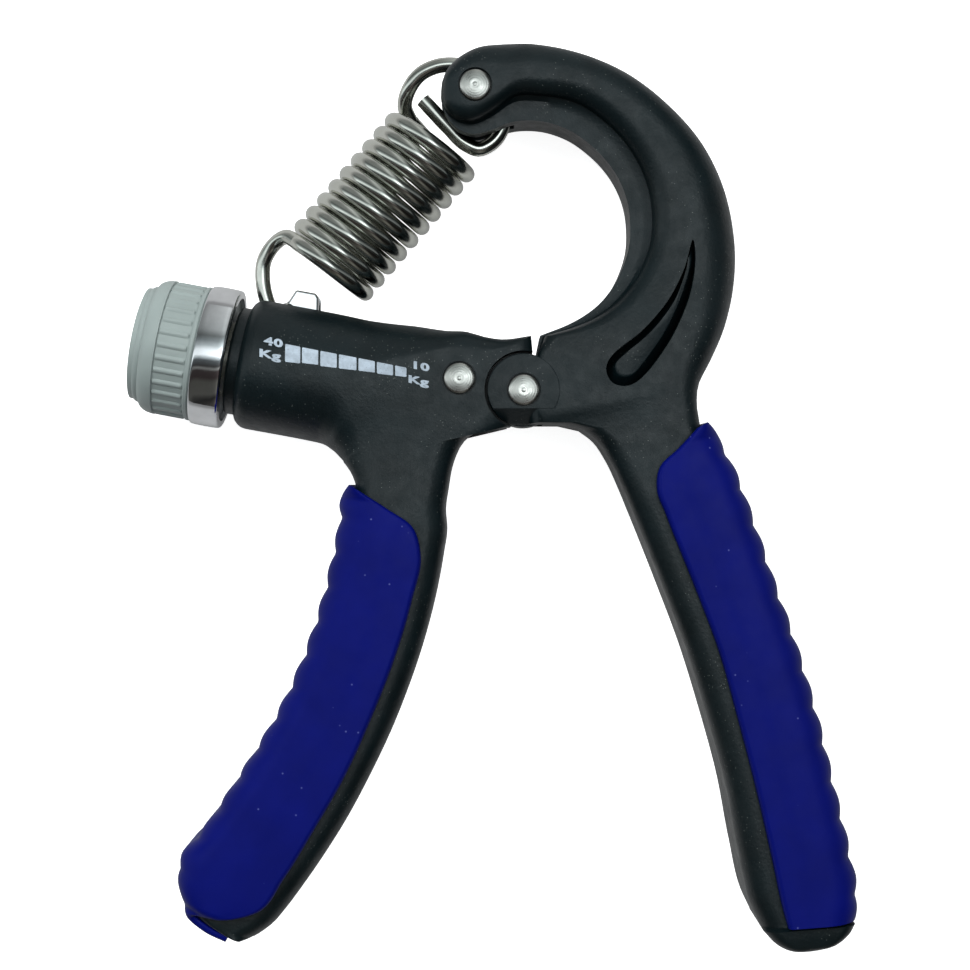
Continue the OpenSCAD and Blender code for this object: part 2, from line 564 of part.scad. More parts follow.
// The fork's floor over the screw's hole, and its gap beside the spring's hook
fork_floor = 1.4;
fork_gap = 0.15;
slider_gap = 0.15;
lug_profile = [
  [0, screw_r], [0, lug_nape],
  [lug_top_from / 2 - nape_bow, (lug_nape + lug_top) / 2 - nape_bow],
  [lug_top_from, lug_top], [lug_top_to, lug_top],
  [lug_front - lug_bevel / 7, lug_top - lug_bevel], [lug_front, lug_chin],
  [slider_len, lug_throat], [slider_len, screw_r]
];
module slider_nut() color(chrome) in_frame() difference() {
  union() {
    rod(bore_d / 2 - slider_gap, slider_start, slider_start + slider_len);
    beside_barrel() translate([slider_start, 0]) linear_extrude(height = fork_w, center = true) polygon(lug_profile);
  }
  rod(screw_r + run_gap, slider_start - past, slider_start + slider_len + past);
  beside_barrel() translate([slider_start - past, screw_r + fork_floor, -wire_r - fork_gap])
    cube([slider_len + 2 * past, barrel_r, wire_d + 2 * fork_gap]);
  translate(concat(hook_at, [0])) cylinder(r = hook_pin_r + run_gap, h = fork_w + past, center = true);
}
module hook_pin() color(bright_steel) in_frame() translate(concat(hook_at, [0]))
  cylinder(r = hook_pin_r, h = fork_w, center = true);

knob_r = knob_d / 2;
ring_seat_r = ring_d / 2 - 1.2;
lip_w = 1.1;
shoulder_w = 2.3;
waist_r = knob_r - rib_rise;
rib_seat = 0.2;
rib_sink = 0.05;
// The ribs stand on the waist, end a hair below the shoulder and the lip, and run a little into both
module knob() color(grey_plastic) in_frame() difference() {
  union() {
    on_barrel() rotate_extrude() polygon(concat(
      [[0, knob_end_a]],
      [for (t = [0:15:75]) [knob_r - shoulder_r + shoulder_r * sin(t), knob_end_a + shoulder_w * (1 - cos(t))]],
      [[knob_r, knob_end_a + shoulder_w], [waist_r, knob_end_a + shoulder_w]],
      [[waist_r, ring_out_a - lip_w], [knob_r, ring_out_a - lip_w], [knob_r, ring_out_a]],
      [[ring_seat_r, ring_out_a], [ring_seat_r, knob_boss_a], [0, knob_boss_a]]));
    on_barrel() for (k = [0:ribs - 1]) rotate([0, 0, 360 * k / ribs])
      translate([knob_r - rib_sink - rib_w / 2, 0, knob_end_a + shoulder_w - rib_seat])
        cylinder(d = rib_w, h = knob_len - shoulder_w - lip_w + 2 * rib_seat);
  }
  rod(screw_r + fix_gap, screw_end_a, 0);
  rod(end_screw_r + 0.2, knob_end_a, screw_end_a + past);
  rod(end_screw_head_r + 0.2, knob_end_a - past, knob_end_a + cap_depth + end_screw_head_t - 0.6);
  rod(cap_d / 2 + fix_gap, knob_end_a - past, knob_end_a + 1);
}
module knob_ring() color(chrome) in_frame() on_barrel() rotate_extrude() polygon([
  [ring_seat_r + fix_gap, ring_out_a], [ring_d / 2 - 0.2, ring_out_a], [ring_d / 2, ring_out_a + 0.3],
  [ring_d / 2, ring_in_a - 0.4], [ring_d / 2 - 0.4, ring_in_a], [ring_seat_r + fix_gap, ring_in_a]]);
module knob_cap() color(grey_plastic) in_frame() on_barrel() rotate_extrude() polygon(concat(
  [[0, knob_end_a + 1], [0, knob_end_a - cap_edge - cap_dome]],
  [for (t = [15:15:60]) [cap_d / 2 * sin(t), knob_end_a - cap_edge - cap_dome * cos(t)]],
  [[cap_d / 2, knob_end_a - cap_edge + 0.2], [cap_d / 2, knob_end_a + 1]]));
module knob_screw() color(bright_steel) in_frame() on_barrel() rotate_extrude() polygon([
  [0, screw_end_a - end_screw_head_t - 0.6], [end_screw_head_r, screw_end_a - end_screw_head_t - 0.6],
  [end_screw_head_r, screw_end_a - 0.6], [end_screw_r, screw_end_a - 0.6],
  [end_screw_r, screw_end_a + end_screw_len - 0.5], [0, screw_end_a + end_screw_len - 0.5]]);

flange_r = ring_seat_r - 0.4;
bush_end = barrel_start + 2.4;
module barrel_bush() color(black_plastic) in_frame() on_barrel() rotate_extrude() polygon([
  [screw_r + run_gap, barrel_start - flange_t], [flange_r - 0.4, barrel_start - flange_t],
  [flange_r, barrel_start - flange_t + 0.4], [flange_r, barrel_start],
  [bore_d / 2 - fix_gap, barrel_start], [bore_d / 2 - fix_gap, bush_end], [screw_r + run_gap, bush_end]]);
module thrust_washer() color(bright_steel) in_frame() on_barrel()
  translate([0, 0, barrel_start - flange_t - washer_t - run_gap]) difference() {
    cylinder(r = washer_r, h = washer_t);
    translate([0, 0, -past]) cylinder(r = screw_r + run_gap, h = washer_t + 2 * past);
  }

left_handle();
left_grip();
right_handle();
right_grip();
pivot_rivet();
screw_pin();
spring_pin();
spring_lower_hook();
spring_coil();
spring_upper_hook();
adjusting_screw();
slider_nut();
hook_pin();
knob();
knob_ring();
knob_cap();
knob_screw();
barrel_bush();
thrust_washer();
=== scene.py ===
"""Looks of an adjustable hand-grip exerciser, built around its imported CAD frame."""
import math

import bmesh
import bpy
import numpy as np
from mathutils import Matrix, Vector
from mathutils.bvhtree import BVHTree


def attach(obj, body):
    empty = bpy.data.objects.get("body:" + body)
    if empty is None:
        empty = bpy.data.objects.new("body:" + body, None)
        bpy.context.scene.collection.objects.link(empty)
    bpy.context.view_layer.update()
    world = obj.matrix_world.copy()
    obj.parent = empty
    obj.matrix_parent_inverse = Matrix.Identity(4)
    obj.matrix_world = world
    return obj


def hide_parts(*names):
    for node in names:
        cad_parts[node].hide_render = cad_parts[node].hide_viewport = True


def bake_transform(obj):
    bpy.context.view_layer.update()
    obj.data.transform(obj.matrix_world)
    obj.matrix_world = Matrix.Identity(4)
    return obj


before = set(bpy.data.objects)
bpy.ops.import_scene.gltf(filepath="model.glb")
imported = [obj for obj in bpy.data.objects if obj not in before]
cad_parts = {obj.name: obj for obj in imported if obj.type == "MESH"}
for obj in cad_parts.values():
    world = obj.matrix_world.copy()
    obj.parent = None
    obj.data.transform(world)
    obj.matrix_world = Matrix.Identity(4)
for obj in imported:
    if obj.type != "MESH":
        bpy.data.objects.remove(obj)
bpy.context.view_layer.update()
scene = bpy.context.scene

# Table and light: the grip lies on white paper and is seen from straight above, from 31 cm.
# A pale window stands overhead and a little to the right, and the room is dark far right and in front.
# Plan sizes in every section are millimetres from the hinge's middle, at half the grips' thickness.
MM = 0.001
HINGE = np.array([4.95, 15.42, 11.0])
VIEW_MIDDLE = (-5.66, -13.89, 0.0)
VIEW_WIDTH = 145.5
VIEW_DISTANCE = 310.0
SENSOR = 36.0


def place(points):
    """Millimetres from the hinge's middle to metres in the part's frame."""
    return (np.asarray(points, float) + HINGE) * MM


camera_data = bpy.data.cameras.new("camera")
camera_data.sensor_width = SENSOR
camera_data.lens = SENSOR * VIEW_DISTANCE / VIEW_WIDTH
camera_data.clip_start = 0.01
camera = bpy.data.objects.new("camera", camera_data)
camera.location = Vector(place(VIEW_MIDDLE)) + Vector((0.0, 0.0, VIEW_DISTANCE * MM))
scene.collection.objects.link(camera)
scene.camera = camera
scene.view_settings.view_transform = "Standard"


def add(tree, kind, **values):
    """A node in a tree, with attributes and inputs set by name."""
    node = tree.nodes.new(kind)
    for key, value in values.items():
        if key in node.inputs:
            node.inputs[key].default_value = value
        else:
            setattr(node, key, value)
    return node


def wire(tree, giver, output, taker, socket):
    """Links one node's output to another node's input."""
    tree.links.new(giver.outputs[output], taker.inputs[socket])


# Room brightness from front to back and from left to right, as (share of the way, red, green, blue)
ROOM_DEPTH = [
    (0.00, 0.12, 0.11, 0.10), (0.03, 0.03, 0.03, 0.03), (0.06, 0.12, 0.12, 0.11), (0.16, 0.10, 0.10, 0.09),
    (0.21, 0.05, 0.04, 0.04), (0.29, 0.06, 0.05, 0.05), (0.32, 0.30, 0.31, 0.30), (0.35, 0.06, 0.06, 0.06),
    (0.43, 0.14, 0.16, 0.17), (0.47, 0.90, 1.02, 1.05), (0.50, 1.85, 2.00, 2.04), (0.57, 1.70, 1.85, 1.90),
    (0.63, 0.75, 0.85, 0.87), (0.70, 0.32, 0.37, 0.38), (0.76, 0.17, 0.19, 0.19), (0.84, 0.38, 0.41, 0.41),
    (1.00, 0.42, 0.44, 0.44)]
ROOM_WIDTH = [
    (0.00, 0.60, 0.60, 0.60), (0.28, 0.58, 0.58, 0.58), (0.40, 0.58, 0.58, 0.58), (0.45, 0.72, 0.72, 0.72),
    (0.50, 1.00, 1.00, 1.00), (0.57, 1.60, 1.60, 1.60), (0.64, 1.20, 1.20, 1.20), (0.74, 0.16, 0.16, 0.16),
    (1.00, 0.10, 0.10, 0.10)]
room = bpy.data.worlds.new("room")
scene.world = room
room.use_nodes = True
room_tree = room.node_tree
room_tree.nodes.clear()
room_out = add(room_tree, "ShaderNodeOutputWorld")
room_light = add(room_tree, "ShaderNodeBackground")
room_way = add(room_tree, "ShaderNodeTexCoord")
room_split = add(room_tree, "ShaderNodeSeparateXYZ")
room_mix = add(room_tree, "ShaderNodeMix", data_type="RGBA", blend_type="MULTIPLY")
room_mix.inputs[0].default_value = 1.0
wire(room_tree, room_way, "Generated", room_split, 0)
for axis, socket, stops in (("Y", 6, ROOM_DEPTH), ("X", 7, ROOM_WIDTH)):
    room_share = add(room_tree, "ShaderNodeMapRange", **{"From Min": -1.0})
    room_ramp = add(room_tree, "ShaderNodeValToRGB")
    while len(room_ramp.color_ramp.elements) < len(stops):
        room_ramp.color_ramp.elements.new(0.5)
    for stop, (share, red, green, blue) in zip(room_ramp.color_ramp.elements, stops):
        stop.position = share
        stop.color = (red, green, blue, 1.0)
    wire(room_tree, room_split, axis, room_share, "Value")
    wire(room_tree, room_share, "Result", room_ramp, "Fac")
    wire(room_tree, room_ramp, "Color", room_mix, socket)
wire(room_tree, room_mix, 2, room_light, "Color")
wire(room_tree, room_light, 0, room_out, "Surface")


def soft_box(name, at, size, watts):
    """A square soft box at a place in metres, turned to the part's middle."""
    data = bpy.data.lights.new(name, "AREA")
    data.size = size
    data.energy = watts
    lamp = bpy.data.objects.new(name, data)
    lamp.location = at
    lamp.visible_glossy = False
    lamp.rotation_euler = (-Vector(at)).to_track_quat("-Z", "Y").to_euler()
    scene.collection.objects.link(lamp)


soft_box("back_soft_box", (-0.28, 0.42, 0.62), 0.45, 4.8)
soft_box("right_soft_box", (0.42, 0.16, 0.60), 0.45, 1.8)

# Left handle: the leg, the screw's barrel and the middle leaf of the hinge in one moulding.
# It is black satin plastic with a fine leather grain, a little dusty, with both faces alike.
# It is skinned along cross rows, and the hinge recess, bore, slot and pin holes are then cut.
BODY_H = 8.7
CORE_H = 9.4
EDGE_R = 2.2
LEG_EDGE_R = 3.2
CORE_BACK_R = 2.4
BOSS_R = 5.3
BOSS_GAP = 0.45
TONGUE_H = 4.0
KNOB_FACE = np.array([-43.0, 4.75])
BARREL_TILT = math.radians(-10.5)
ALONG = np.array([math.cos(BARREL_TILT), math.sin(BARREL_TILT)])
ACROSS = np.array([-ALONG[1], ALONG[0]])
BARREL_R = 9.8
BARREL_START = 1.3
MOUTH_R = 2.0
BORE_R = 6.5
BORE_END = 29.0
SLOT_H = 3.2
SCREW_R = 3.0
SCREW_TAIL = 37.0
SCREW_PIN = (-9.4, 1.7)
RIVET_R = 1.55
HEAD_R = 2.25
HEAD_T = 0.9
HEAD_GAP = 0.25
FIX_GAP = 0.02
RUN_GAP = 0.05
GRIP_H = 11.0
GRIP_WALL = 2.0
WEB_H = 8.6
PAST = 3.0
ROD_SIDES = 96
CRISP = 35.0
MERGE = 1e-7
# Spans over which the left handle's faces change height: along and across the barrel, and down the leg
ROUND_END = (13.0, 23.0)
SWELL_ALONG = (14.0, 34.0)
SWELL_ACROSS = (3.0, 11.0)
LEFT_LEG_RISE = (6.0, 18.0)


def barrel_pt(a, up):
    """A plan point from its station along the barrel and its height over the screw."""
    return KNOB_FACE + a * ALONG + up * ACROSS


def barrel_row(a, r):
    """A round row of the barrel at station a."""
    return [barrel_pt(a, -r), barrel_pt(a, r), r, r - 0.2, r - 0.2, 1.0]


def rounded(a, r, along, inward, count):
    """The rounded corner of a profile, from its station to its radius."""
    turns = np.linspace(0, math.pi / 2, count)
    return [(a + along * (1 - math.cos(t)), r - inward * (1 - math.sin(t))) for t in turns]


# Rows: first edge, second edge, half thickness, their roundings,
# and how far the second rounding is drawn out where the row crosses its edge askew
mouth_rows = [barrel_row(a, r) for a, r in rounded(BARREL_START, BARREL_R, MOUTH_R, MOUTH_R, 8)]
barrel_rows = [
    barrel_row(BARREL_START + MOUTH_R + 0.1, BARREL_R),
    barrel_row(12.0, BARREL_R),
    [(-29.6, -7.9), barrel_pt(21.0, BARREL_R), BARREL_R - 0.2, 8.0, 8.6, 1.0],
    [(-28.6, -8.5), barrel_pt(26.0, BARREL_R + 0.1), BODY_H + 0.6, 6.0, 7.2, 1.0],
    [(-27.8, -9.1), barrel_pt(30.5, BARREL_R + 0.1), BODY_H + 0.2, 5.0, 4.6, 1.1],
    [(-27.3, -9.6), (-8.4, 8.7), BODY_H, 4.4, 3.0, 1.3],
    [(-27.0, -9.9), (-5.8, 7.9), BODY_H, 4.0, 2.2, 1.5],
    [(-26.7, -10.2), (-3.2, 7.5), BODY_H, 3.7, 2.0, 1.6],
    [(-26.5, -10.5), (1.1, 8.0), BODY_H, 3.4, 1.6, 1.7]]
crotch_rows = [
    [(-26.45, -10.6), (1.35, 5.3), BODY_H, 3.3, 1.6, 1.7],
    [(-26.35, -10.75), (0.6, 0.0), BODY_H, 3.2, EDGE_R, 2.6],
    [(-26.2, -10.9), (-1.9, 0.1 - BOSS_R), BODY_H, 3.1, EDGE_R, 3.8],
    [(-25.9, -11.3), (-4.0, -BOSS_R), BODY_H, 2.9, EDGE_R, 3.4],
    [(-25.6, -11.7), (-6.2, -0.2 - BOSS_R), BODY_H, 2.7, EDGE_R, 2.8],
    [(-25.3, -12.2), (-8.8, -7.2), BODY_H + 0.2, 2.6, 2.4, 1.9],
    [(-24.9, -13.1), (-10.4, -10.4), BODY_H + 0.4, 2.5, 2.8, 1.3]]
# Rows of a leg: core's inner edge, grip's lip, grip's outer edge, grip's wall, half thickness and ripple.
# Most rows end with the last three as they are in USUAL.
USUAL = [GRIP_WALL, GRIP_H, 1.0]


def whole_rows(rows):
    """A leg's rows, with what is usual added to those that leave it out."""
    return [row if len(row) > len(USUAL) else row + USUAL for row in rows]


left_leg = whole_rows([
    [(-11.2, -14.5), (-24.0, -14.7), (-25.7, -13.7), 1.2, GRIP_H, 1.0],
    [(-11.6, -17.5), (-19.8, -17.4), (-26.8, -16.8), GRIP_WALL - 0.3, GRIP_H, 1.0],
    [(-11.4, -20.5), (-16.2, -20.0), (-27.0, -19.6)],
    [(-11.9, -24.2), (-15.0, -24.0), (-27.8, -23.6)],
    [(-13.1, -30.6), (-16.3, -30.8), (-29.4, -30.4)],
    [(-15.2, -38.5), (-18.6, -38.6), (-32.0, -38.4)],
    [(-18.4, -47.5), (-22.0, -47.4), (-36.0, -47.2)],
    [(-22.4, -56.2), (-26.0, -56.2), (-41.2, -55.8)],
    [(-27.0, -64.6), (-30.6, -64.2), (-46.4, -63.6)],
    [(-32.2, -72.4), (-34.8, -71.0), (-50.2, -68.6)],
    [(-35.2, -76.4), (-38.4, -75.8), (-50.6, -72.0), GRIP_WALL, GRIP_H, 0.4],
    [(-37.0, -78.4), (-44.0, -77.1), (-49.9, -74.9), 1.6, GRIP_H - 0.3, 0.0],
    [(-38.8, -79.7), (-47.9, -76.7), (-48.9, -77.5), 1.2, WEB_H, 0.0],
    [(-40.2, -80.3), (-45.7, -78.5), (-46.4, -79.4), 1.1, WEB_H, 0.0],
    [(-41.4, -80.5), (-43.2, -79.7), (-43.6, -80.7), 1.0, WEB_H, 0.0]])
ROW_STEP = 0.8


def smooth_rows(rows, step):
    """Listed rows joined by smooth curves, with new rows about one step apart."""
    flat = [np.concatenate([np.ravel(np.asarray(v, float)) for v in row]) for row in rows]
    cuts = np.cumsum([np.size(v) for v in rows[0]])[:-1]
    gaps = [max(1e-6, float(np.linalg.norm(b[:4] - a[:4])) / math.sqrt(2)) for a, b in zip(flat, flat[1:])]
    rates = [(b - a) / gap for a, b, gap in zip(flat, flat[1:], gaps)]
    slopes = [rates[0]]
    for i in range(1, len(rates)):
        slopes.append((rates[i - 1] * gaps[i] + rates[i] * gaps[i - 1]) / (gaps[i] + gaps[i - 1]))
    slopes.append(rates[-1])
    out = []
    for i, gap in enumerate(gaps):
        count = max(1, round(gap / step))
        for k in range(count):
            t = k / count
            out.append(
                (2 * t ** 3 - 3 * t ** 2 + 1) * flat[i] + (t ** 3 - 2 * t ** 2 + t) * gap * slopes[i]
                + (3 * t ** 2 - 2 * t ** 3) * flat[i + 1] + (t ** 3 - t ** 2) * gap * slopes[i + 1])
    out.append(flat[-1])
    return [[v if len(v) > 1 else float(v[0]) for v in np.split(row, cuts)] for row in out]


QUARTER = np.linspace(0, math.pi / 2, 9)


def plate_section(w, h, r1, r2, draw=1.0):
    """Cross-section of a leg or the barrel: distance from its first edge, and height."""
    a = min(r1, 0.45 * w)
    b = min(r2, 0.45 * w)
    c = min(b * draw, 0.5 * w)
    first = [(a - a * math.cos(t), h - a + a * math.sin(t)) for t in QUARTER]
    second = [(w - c + c * math.sin(t), h - b + b * math.cos(t)) for t in QUARTER]
    front = first + second
    return front + [(x, -z) for x, z in reversed(front)]


def on_line(section, start, end):
    """Puts a section on the plan line from one point to another."""
    start = np.asarray(start, float)
    way = np.asarray(end, float) - start
    way /= np.linalg.norm(way)
    return [(*(start + way * x), z) for x, z in section]


def eased(value, start, end):
    """0 before a start, 1 past an end, and a smooth rise between them."""
    t = min(1.0, max(0.0, (value - start) / (end - start)))
    return t * t * (3 - 2 * t)


def left_face(a, up, y):
    """Half thickness of the left handle: the barrel's swell, the flat hinge leaf, and the leg."""
    swell = (BARREL_R - BODY_H) * (1 - eased(a, *SWELL_ALONG)) * (1 - eased(abs(up), *SWELL_ACROSS))
    return BODY_H + swell + (CORE_H - BODY_H) * eased(-y, *LEFT_LEG_RISE)


def handle_ring(row):
    """A closed ring of the left handle, brought to its face's height past the round barrel."""
    first, second, h, r1, r2, draw = row
    w = float(np.linalg.norm(np.subtract(second, first)))
    ring = []
    for x, y, z in on_line(plate_section(w, h, r1, r2, draw), first, second):
        spot = np.array([x, y]) - KNOB_FACE
        a = float(np.dot(spot, ALONG))
        share = eased(a, *ROUND_END)
        ring.append((x, y, z * (1 + share * (left_face(a, float(np.dot(spot, ACROSS)), y) / h - 1))))
    return ring


def core_edge(row):
    """The core's outer edge under a grip, inside the grip's outer edge by its wall."""
    outer = np.asarray(row[2], float)
    way = np.asarray(row[1], float) - outer
    return outer + way / np.linalg.norm(way) * (row[3] + FIX_GAP)


def skin(rings):
    """A bmesh that starts as one drawn ring and is extruded from ring to ring, with its ends filled."""
    bm = bmesh.new()
    row = [bm.verts.new(p) for p in place(rings[0])]
    edges = [bm.edges.new((row[i - 1], row[i])) for i in range(len(row))]
    first = list(edges)
    for ring in rings[1:]:
        grown = bmesh.ops.extrude_edge_only(bm, edges=edges)["geom"]
        fresh = {v for v in grown if isinstance(v, bmesh.types.BMVert)}
        row = [next(e.other_vert(v) for e in v.link_edges if e.other_vert(v) in fresh) for v in row]
        for vert, point in zip(row, place(ring)):
            vert.co = point
        edges = [bm.edges.get((row[i - 1], row[i])) for i in range(len(row))]
    bmesh.ops.edgeloop_fill(bm, edges=first)
    bmesh.ops.edgeloop_fill(bm, edges=edges)
    return bm


def crisp(bm, angle):
    """Smooth faces all over, with the edges over an angle in degrees left crisp."""
    limit = math.radians(angle)
    for edge in bm.edges:
        edge.smooth = len(edge.link_faces) != 2 or edge.calc_face_angle() < limit
    for face in bm.faces:
        face.smooth = True


def linked(bm, name):
    """Links a finished bmesh as a piece at the origin."""
    mesh = bpy.data.meshes.new(name)
    bm.to_mesh(mesh)
    bm.free()
    piece = bpy.data.objects.new(name, mesh)
    scene.collection.objects.link(piece)
    return piece


def piece_from(bm, name, angle=CRISP):
    """Merges a bmesh, turns its faces outwards and links it as a piece."""
    bmesh.ops.remove_doubles(bm, verts=bm.verts, dist=MERGE)
    bmesh.ops.recalc_face_normals(bm, faces=bm.faces)
    crisp(bm, angle)
    return linked(bm, name)


def rod(r, start, end, rim=0.0):
    """A round rod between two points, its rims rounded by rim, for cutting or joining."""
    low = Vector(place(start))
    high = Vector(place(end))
    turn = (high - low).to_track_quat("Z", "Y").to_matrix().to_4x4()
    bm = bmesh.new()
    bmesh.ops.create_cone(
        bm, cap_ends=True, segments=ROD_SIDES, radius1=r * MM, radius2=r * MM, depth=(high - low).length,
        matrix=Matrix.Translation((low + high) / 2) @ turn)
    if rim > 0:
        rims = [e for e in bm.edges if any(len(f.verts) > 4 for f in e.link_faces)]
        bmesh.ops.bevel(
            bm, geom=rims, offset=rim * MM, segments=4, profile=0.5, affect="EDGES", material=-1)
    return piece_from(bm, "rod")


def barrel_rod(r, a1, a2):
    """A rod along the barrel's axis between two stations."""
    return rod(r, (*barrel_pt(a1, 0.0), 0.0), (*barrel_pt(a2, 0.0), 0.0))


def upright(at, r, low, high, rim=0.0):
    """A rod along the hinge's direction between two heights."""
    return rod(r, (*at, low), (*at, high), rim=rim)


def drawn_face(bm, points):
    """A flat face filled into a drawn outline."""
    verts = [bm.verts.new(p) for p in place(points)]
    edges = [bm.edges.new((verts[i - 1], verts[i])) for i in range(len(verts))]
    return bmesh.ops.edgeloop_fill(bm, edges=edges)["faces"]


def block(corners, low, high):
    """A prism on plan corners between two heights."""
    return piece_from(skin([[(*c, z) for c in corners] for z in (low, high)]), "block")


def shape(piece, tools, operation="DIFFERENCE", angle=CRISP):
    """Cuts tools out of a piece, or joins them to it, and removes the tools."""
    for tool in tools:
        step = piece.modifiers.new("shape", "BOOLEAN")
        step.object = tool
        step.operation = operation
        step.solver = "EXACT"
        bpy.context.view_layer.update()
        shaped = bpy.data.meshes.new_from_object(piece.evaluated_get(bpy.context.evaluated_depsgraph_get()))
        piece.modifiers.clear()
        piece.data = shaped
        bpy.data.objects.remove(tool)
    bm = bmesh.new()
    bm.from_mesh(piece.data)
    crisp(bm, angle)
    bm.to_mesh(piece.data)
    bm.free()


def sinkings(at, h):
    """The two round sinkings for a rivet's heads, in a piece of half thickness h."""
    r = HEAD_R + HEAD_GAP
    return [upright(at, r, h - HEAD_T, h + PAST), upright(at, r, -h - PAST, HEAD_T - h)]


def dress(piece, look):
    """Gives a piece one material."""
    piece.data.materials.clear()
    piece.data.materials.append(look)


def fit(piece, look, node, body):
    """Gives a piece its material, and puts it in its node's place on its body."""
    dress(piece, look)
    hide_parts(node)
    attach(piece, body)


def new_group(name, inputs, output):
    """A shader group with its number inputs and one output, and its end nodes."""
    group = bpy.data.node_groups.new(name, "ShaderNodeTree")
    for label, value in inputs:
        group.interface.new_socket(label, in_out="INPUT", socket_type="NodeSocketFloat").default_value = value
    group.interface.new_socket(output, in_out="OUTPUT", socket_type="NodeSocketFloat")
    return group, group.nodes.new("NodeGroupInput"), group.nodes.new("NodeGroupOutput")


def put(tree, group, **values):
    """A group in a material's tree, with its inputs set by name."""
    node = tree.nodes.new("ShaderNodeGroup")
    node.node_tree = group
    for key, value in values.items():
        node.inputs[key].default_value = value
    return node


# Leather grain: a soft height of rounded cells with a finer tooth on it
grain_group, grain_in, grain_out = new_group("Leather grain", [("Scale", 1000.0)], "Height")
grain_place = add(grain_group, "ShaderNodeTexCoord")
grain_noise = add(grain_group, "ShaderNodeTexNoise", Detail=4.0, Roughness=0.55)
wire(grain_group, grain_place, "Object", grain_noise, "Vector")
wire(grain_group, grain_in, "Scale", grain_noise, "Scale")
wire(grain_group, grain_noise, "Fac", grain_out, "Height")

# Mottle: a slow change of tone or gloss between two values
mottle_group, mottle_in, mottle_out = new_group(
    "Mottle", [("Scale", 120.0), ("Low", 0.8), ("High", 1.2)], "Value")
mottle_place = add(mottle_group, "ShaderNodeTexCoord")
mottle_noise = add(mottle_group, "ShaderNodeTexNoise", Detail=3.0, Roughness=0.55)
mottle_span = add(mottle_group, "ShaderNodeMapRange", **{"From Min": 0.3, "From Max": 0.7})
wire(mottle_group, mottle_place, "Object", mottle_noise, "Vector")
wire(mottle_group, mottle_in, "Scale", mottle_noise, "Scale")
wire(mottle_group, mottle_noise, "Fac", mottle_span, "Value")
wire(mottle_group, mottle_in, "Low", mottle_span, "To Min")
wire(mottle_group, mottle_in, "High", mottle_span, "To Max")
wire(mottle_group, mottle_span, "Result", mottle_out, "Value")

# Dust: small pale grains, thick in some places and thin in others
dust_group, dust_in, dust_out = new_group("Dust", [("Scale", 900.0), ("Amount", 0.1)], "Mask")
dust_place = add(dust_group, "ShaderNodeTexCoord")
dust_cells = add(dust_group, "ShaderNodeTexVoronoi", feature="F1")
dust_near = add(dust_group, "ShaderNodeMapRange", **{"From Max": 0.2, "To Min": 1.0, "To Max": 0.0})
dust_pick = add(dust_group, "ShaderNodeSeparateColor")
dust_drift = add(dust_group, "ShaderNodeTexNoise", Scale=110.0, Detail=1.0)
dust_bank = add(dust_group, "ShaderNodeMapRange", **{"From Min": 0.48, "From Max": 0.78})
dust_share = add(dust_group, "ShaderNodeMath", operation="MULTIPLY")
dust_less = add(dust_group, "ShaderNodeMath", operation="LESS_THAN")
dust_mask = add(dust_group, "ShaderNodeMath", operation="MULTIPLY")
wire(dust_group, dust_place, "Object", dust_cells, "Vector")
wire(dust_group, dust_place, "Object", dust_drift, "Vector")
wire(dust_group, dust_in, "Scale", dust_cells, "Scale")
wire(dust_group, dust_cells, "Distance", dust_near, "Value")
wire(dust_group, dust_cells, "Color", dust_pick, "Color")
wire(dust_group, dust_in, "Amount", dust_share, 0)
wire(dust_group, dust_drift, "Fac", dust_bank, "Value")
wire(dust_group, dust_bank, "Result", dust_share, 1)
wire(dust_group, dust_pick, "Red", dust_less, 0)
wire(dust_group, dust_share, 0, dust_less, 1)
wire(dust_group, dust_near, "Result", dust_mask, 0)
wire(dust_group, dust_less, 0, dust_mask, 1)
wire(dust_group, dust_mask, 0, dust_out, "Mask")


def tint(red, green, blue):
    """A colour of 0 to 255 as seen, in linear light."""
    seen = [c / 255 for c in (red, green, blue)]
    return (*[c / 12.92 if c <= 0.04045 else ((c + 0.055) / 1.055) ** 2.4 for c in seen], 1.0)


def new_material(name):
    """A material with one principled shader, its tree and the shader."""
    material = bpy.data.materials.new(name)
    material.use_nodes = True
    tree = material.node_tree
    tree.nodes.clear()
    out = add(tree, "ShaderNodeOutputMaterial")
    shader = add(tree, "ShaderNodeBsdfPrincipled")
    wire(tree, shader, 0, out, "Surface")
    return material, tree, shader


def toned(tree, colour, scale, low, high):
    """A colour whose brightness drifts slowly over the surface."""
    tone = put(tree, mottle_group, Scale=scale, Low=low, High=high)
    mix = add(tree, "ShaderNodeMix", data_type="RGBA", blend_type="MULTIPLY")
    mix.inputs[0].default_value = 1.0
    mix.inputs[6].default_value = colour
    wire(tree, tone, "Value", mix, 7)
    return mix.outputs[2]


def dusted(tree, colour, dust_colour, scale, amount):
    """A colour with pale dust on it."""
    dust = put(tree, dust_group, Scale=scale, Amount=amount)
    mix = add(tree, "ShaderNodeMix", data_type="RGBA")
    mix.inputs[7].default_value = dust_colour
    wire(tree, dust, "Mask", mix, 0)
    tree.links.new(colour, mix.inputs[6])
    return mix.outputs[2]


def grained(tree, shader, scale, depth):
    """Leather grain on a shader's normal."""
    grain = put(tree, grain_group, Scale=scale)
    bump = add(tree, "ShaderNodeBump", Strength=1.0, Distance=depth * MM)
    wire(tree, grain, "Height", bump, "Height")
    wire(tree, bump, "Normal", shader, "Normal")


def glossed(tree, shader, scale, low, high):
    """Uneven gloss on a shader, between two roughnesses."""
    gloss = put(tree, mottle_group, Scale=scale, Low=low, High=high)
    wire(tree, gloss, "Value", shader, "Roughness")


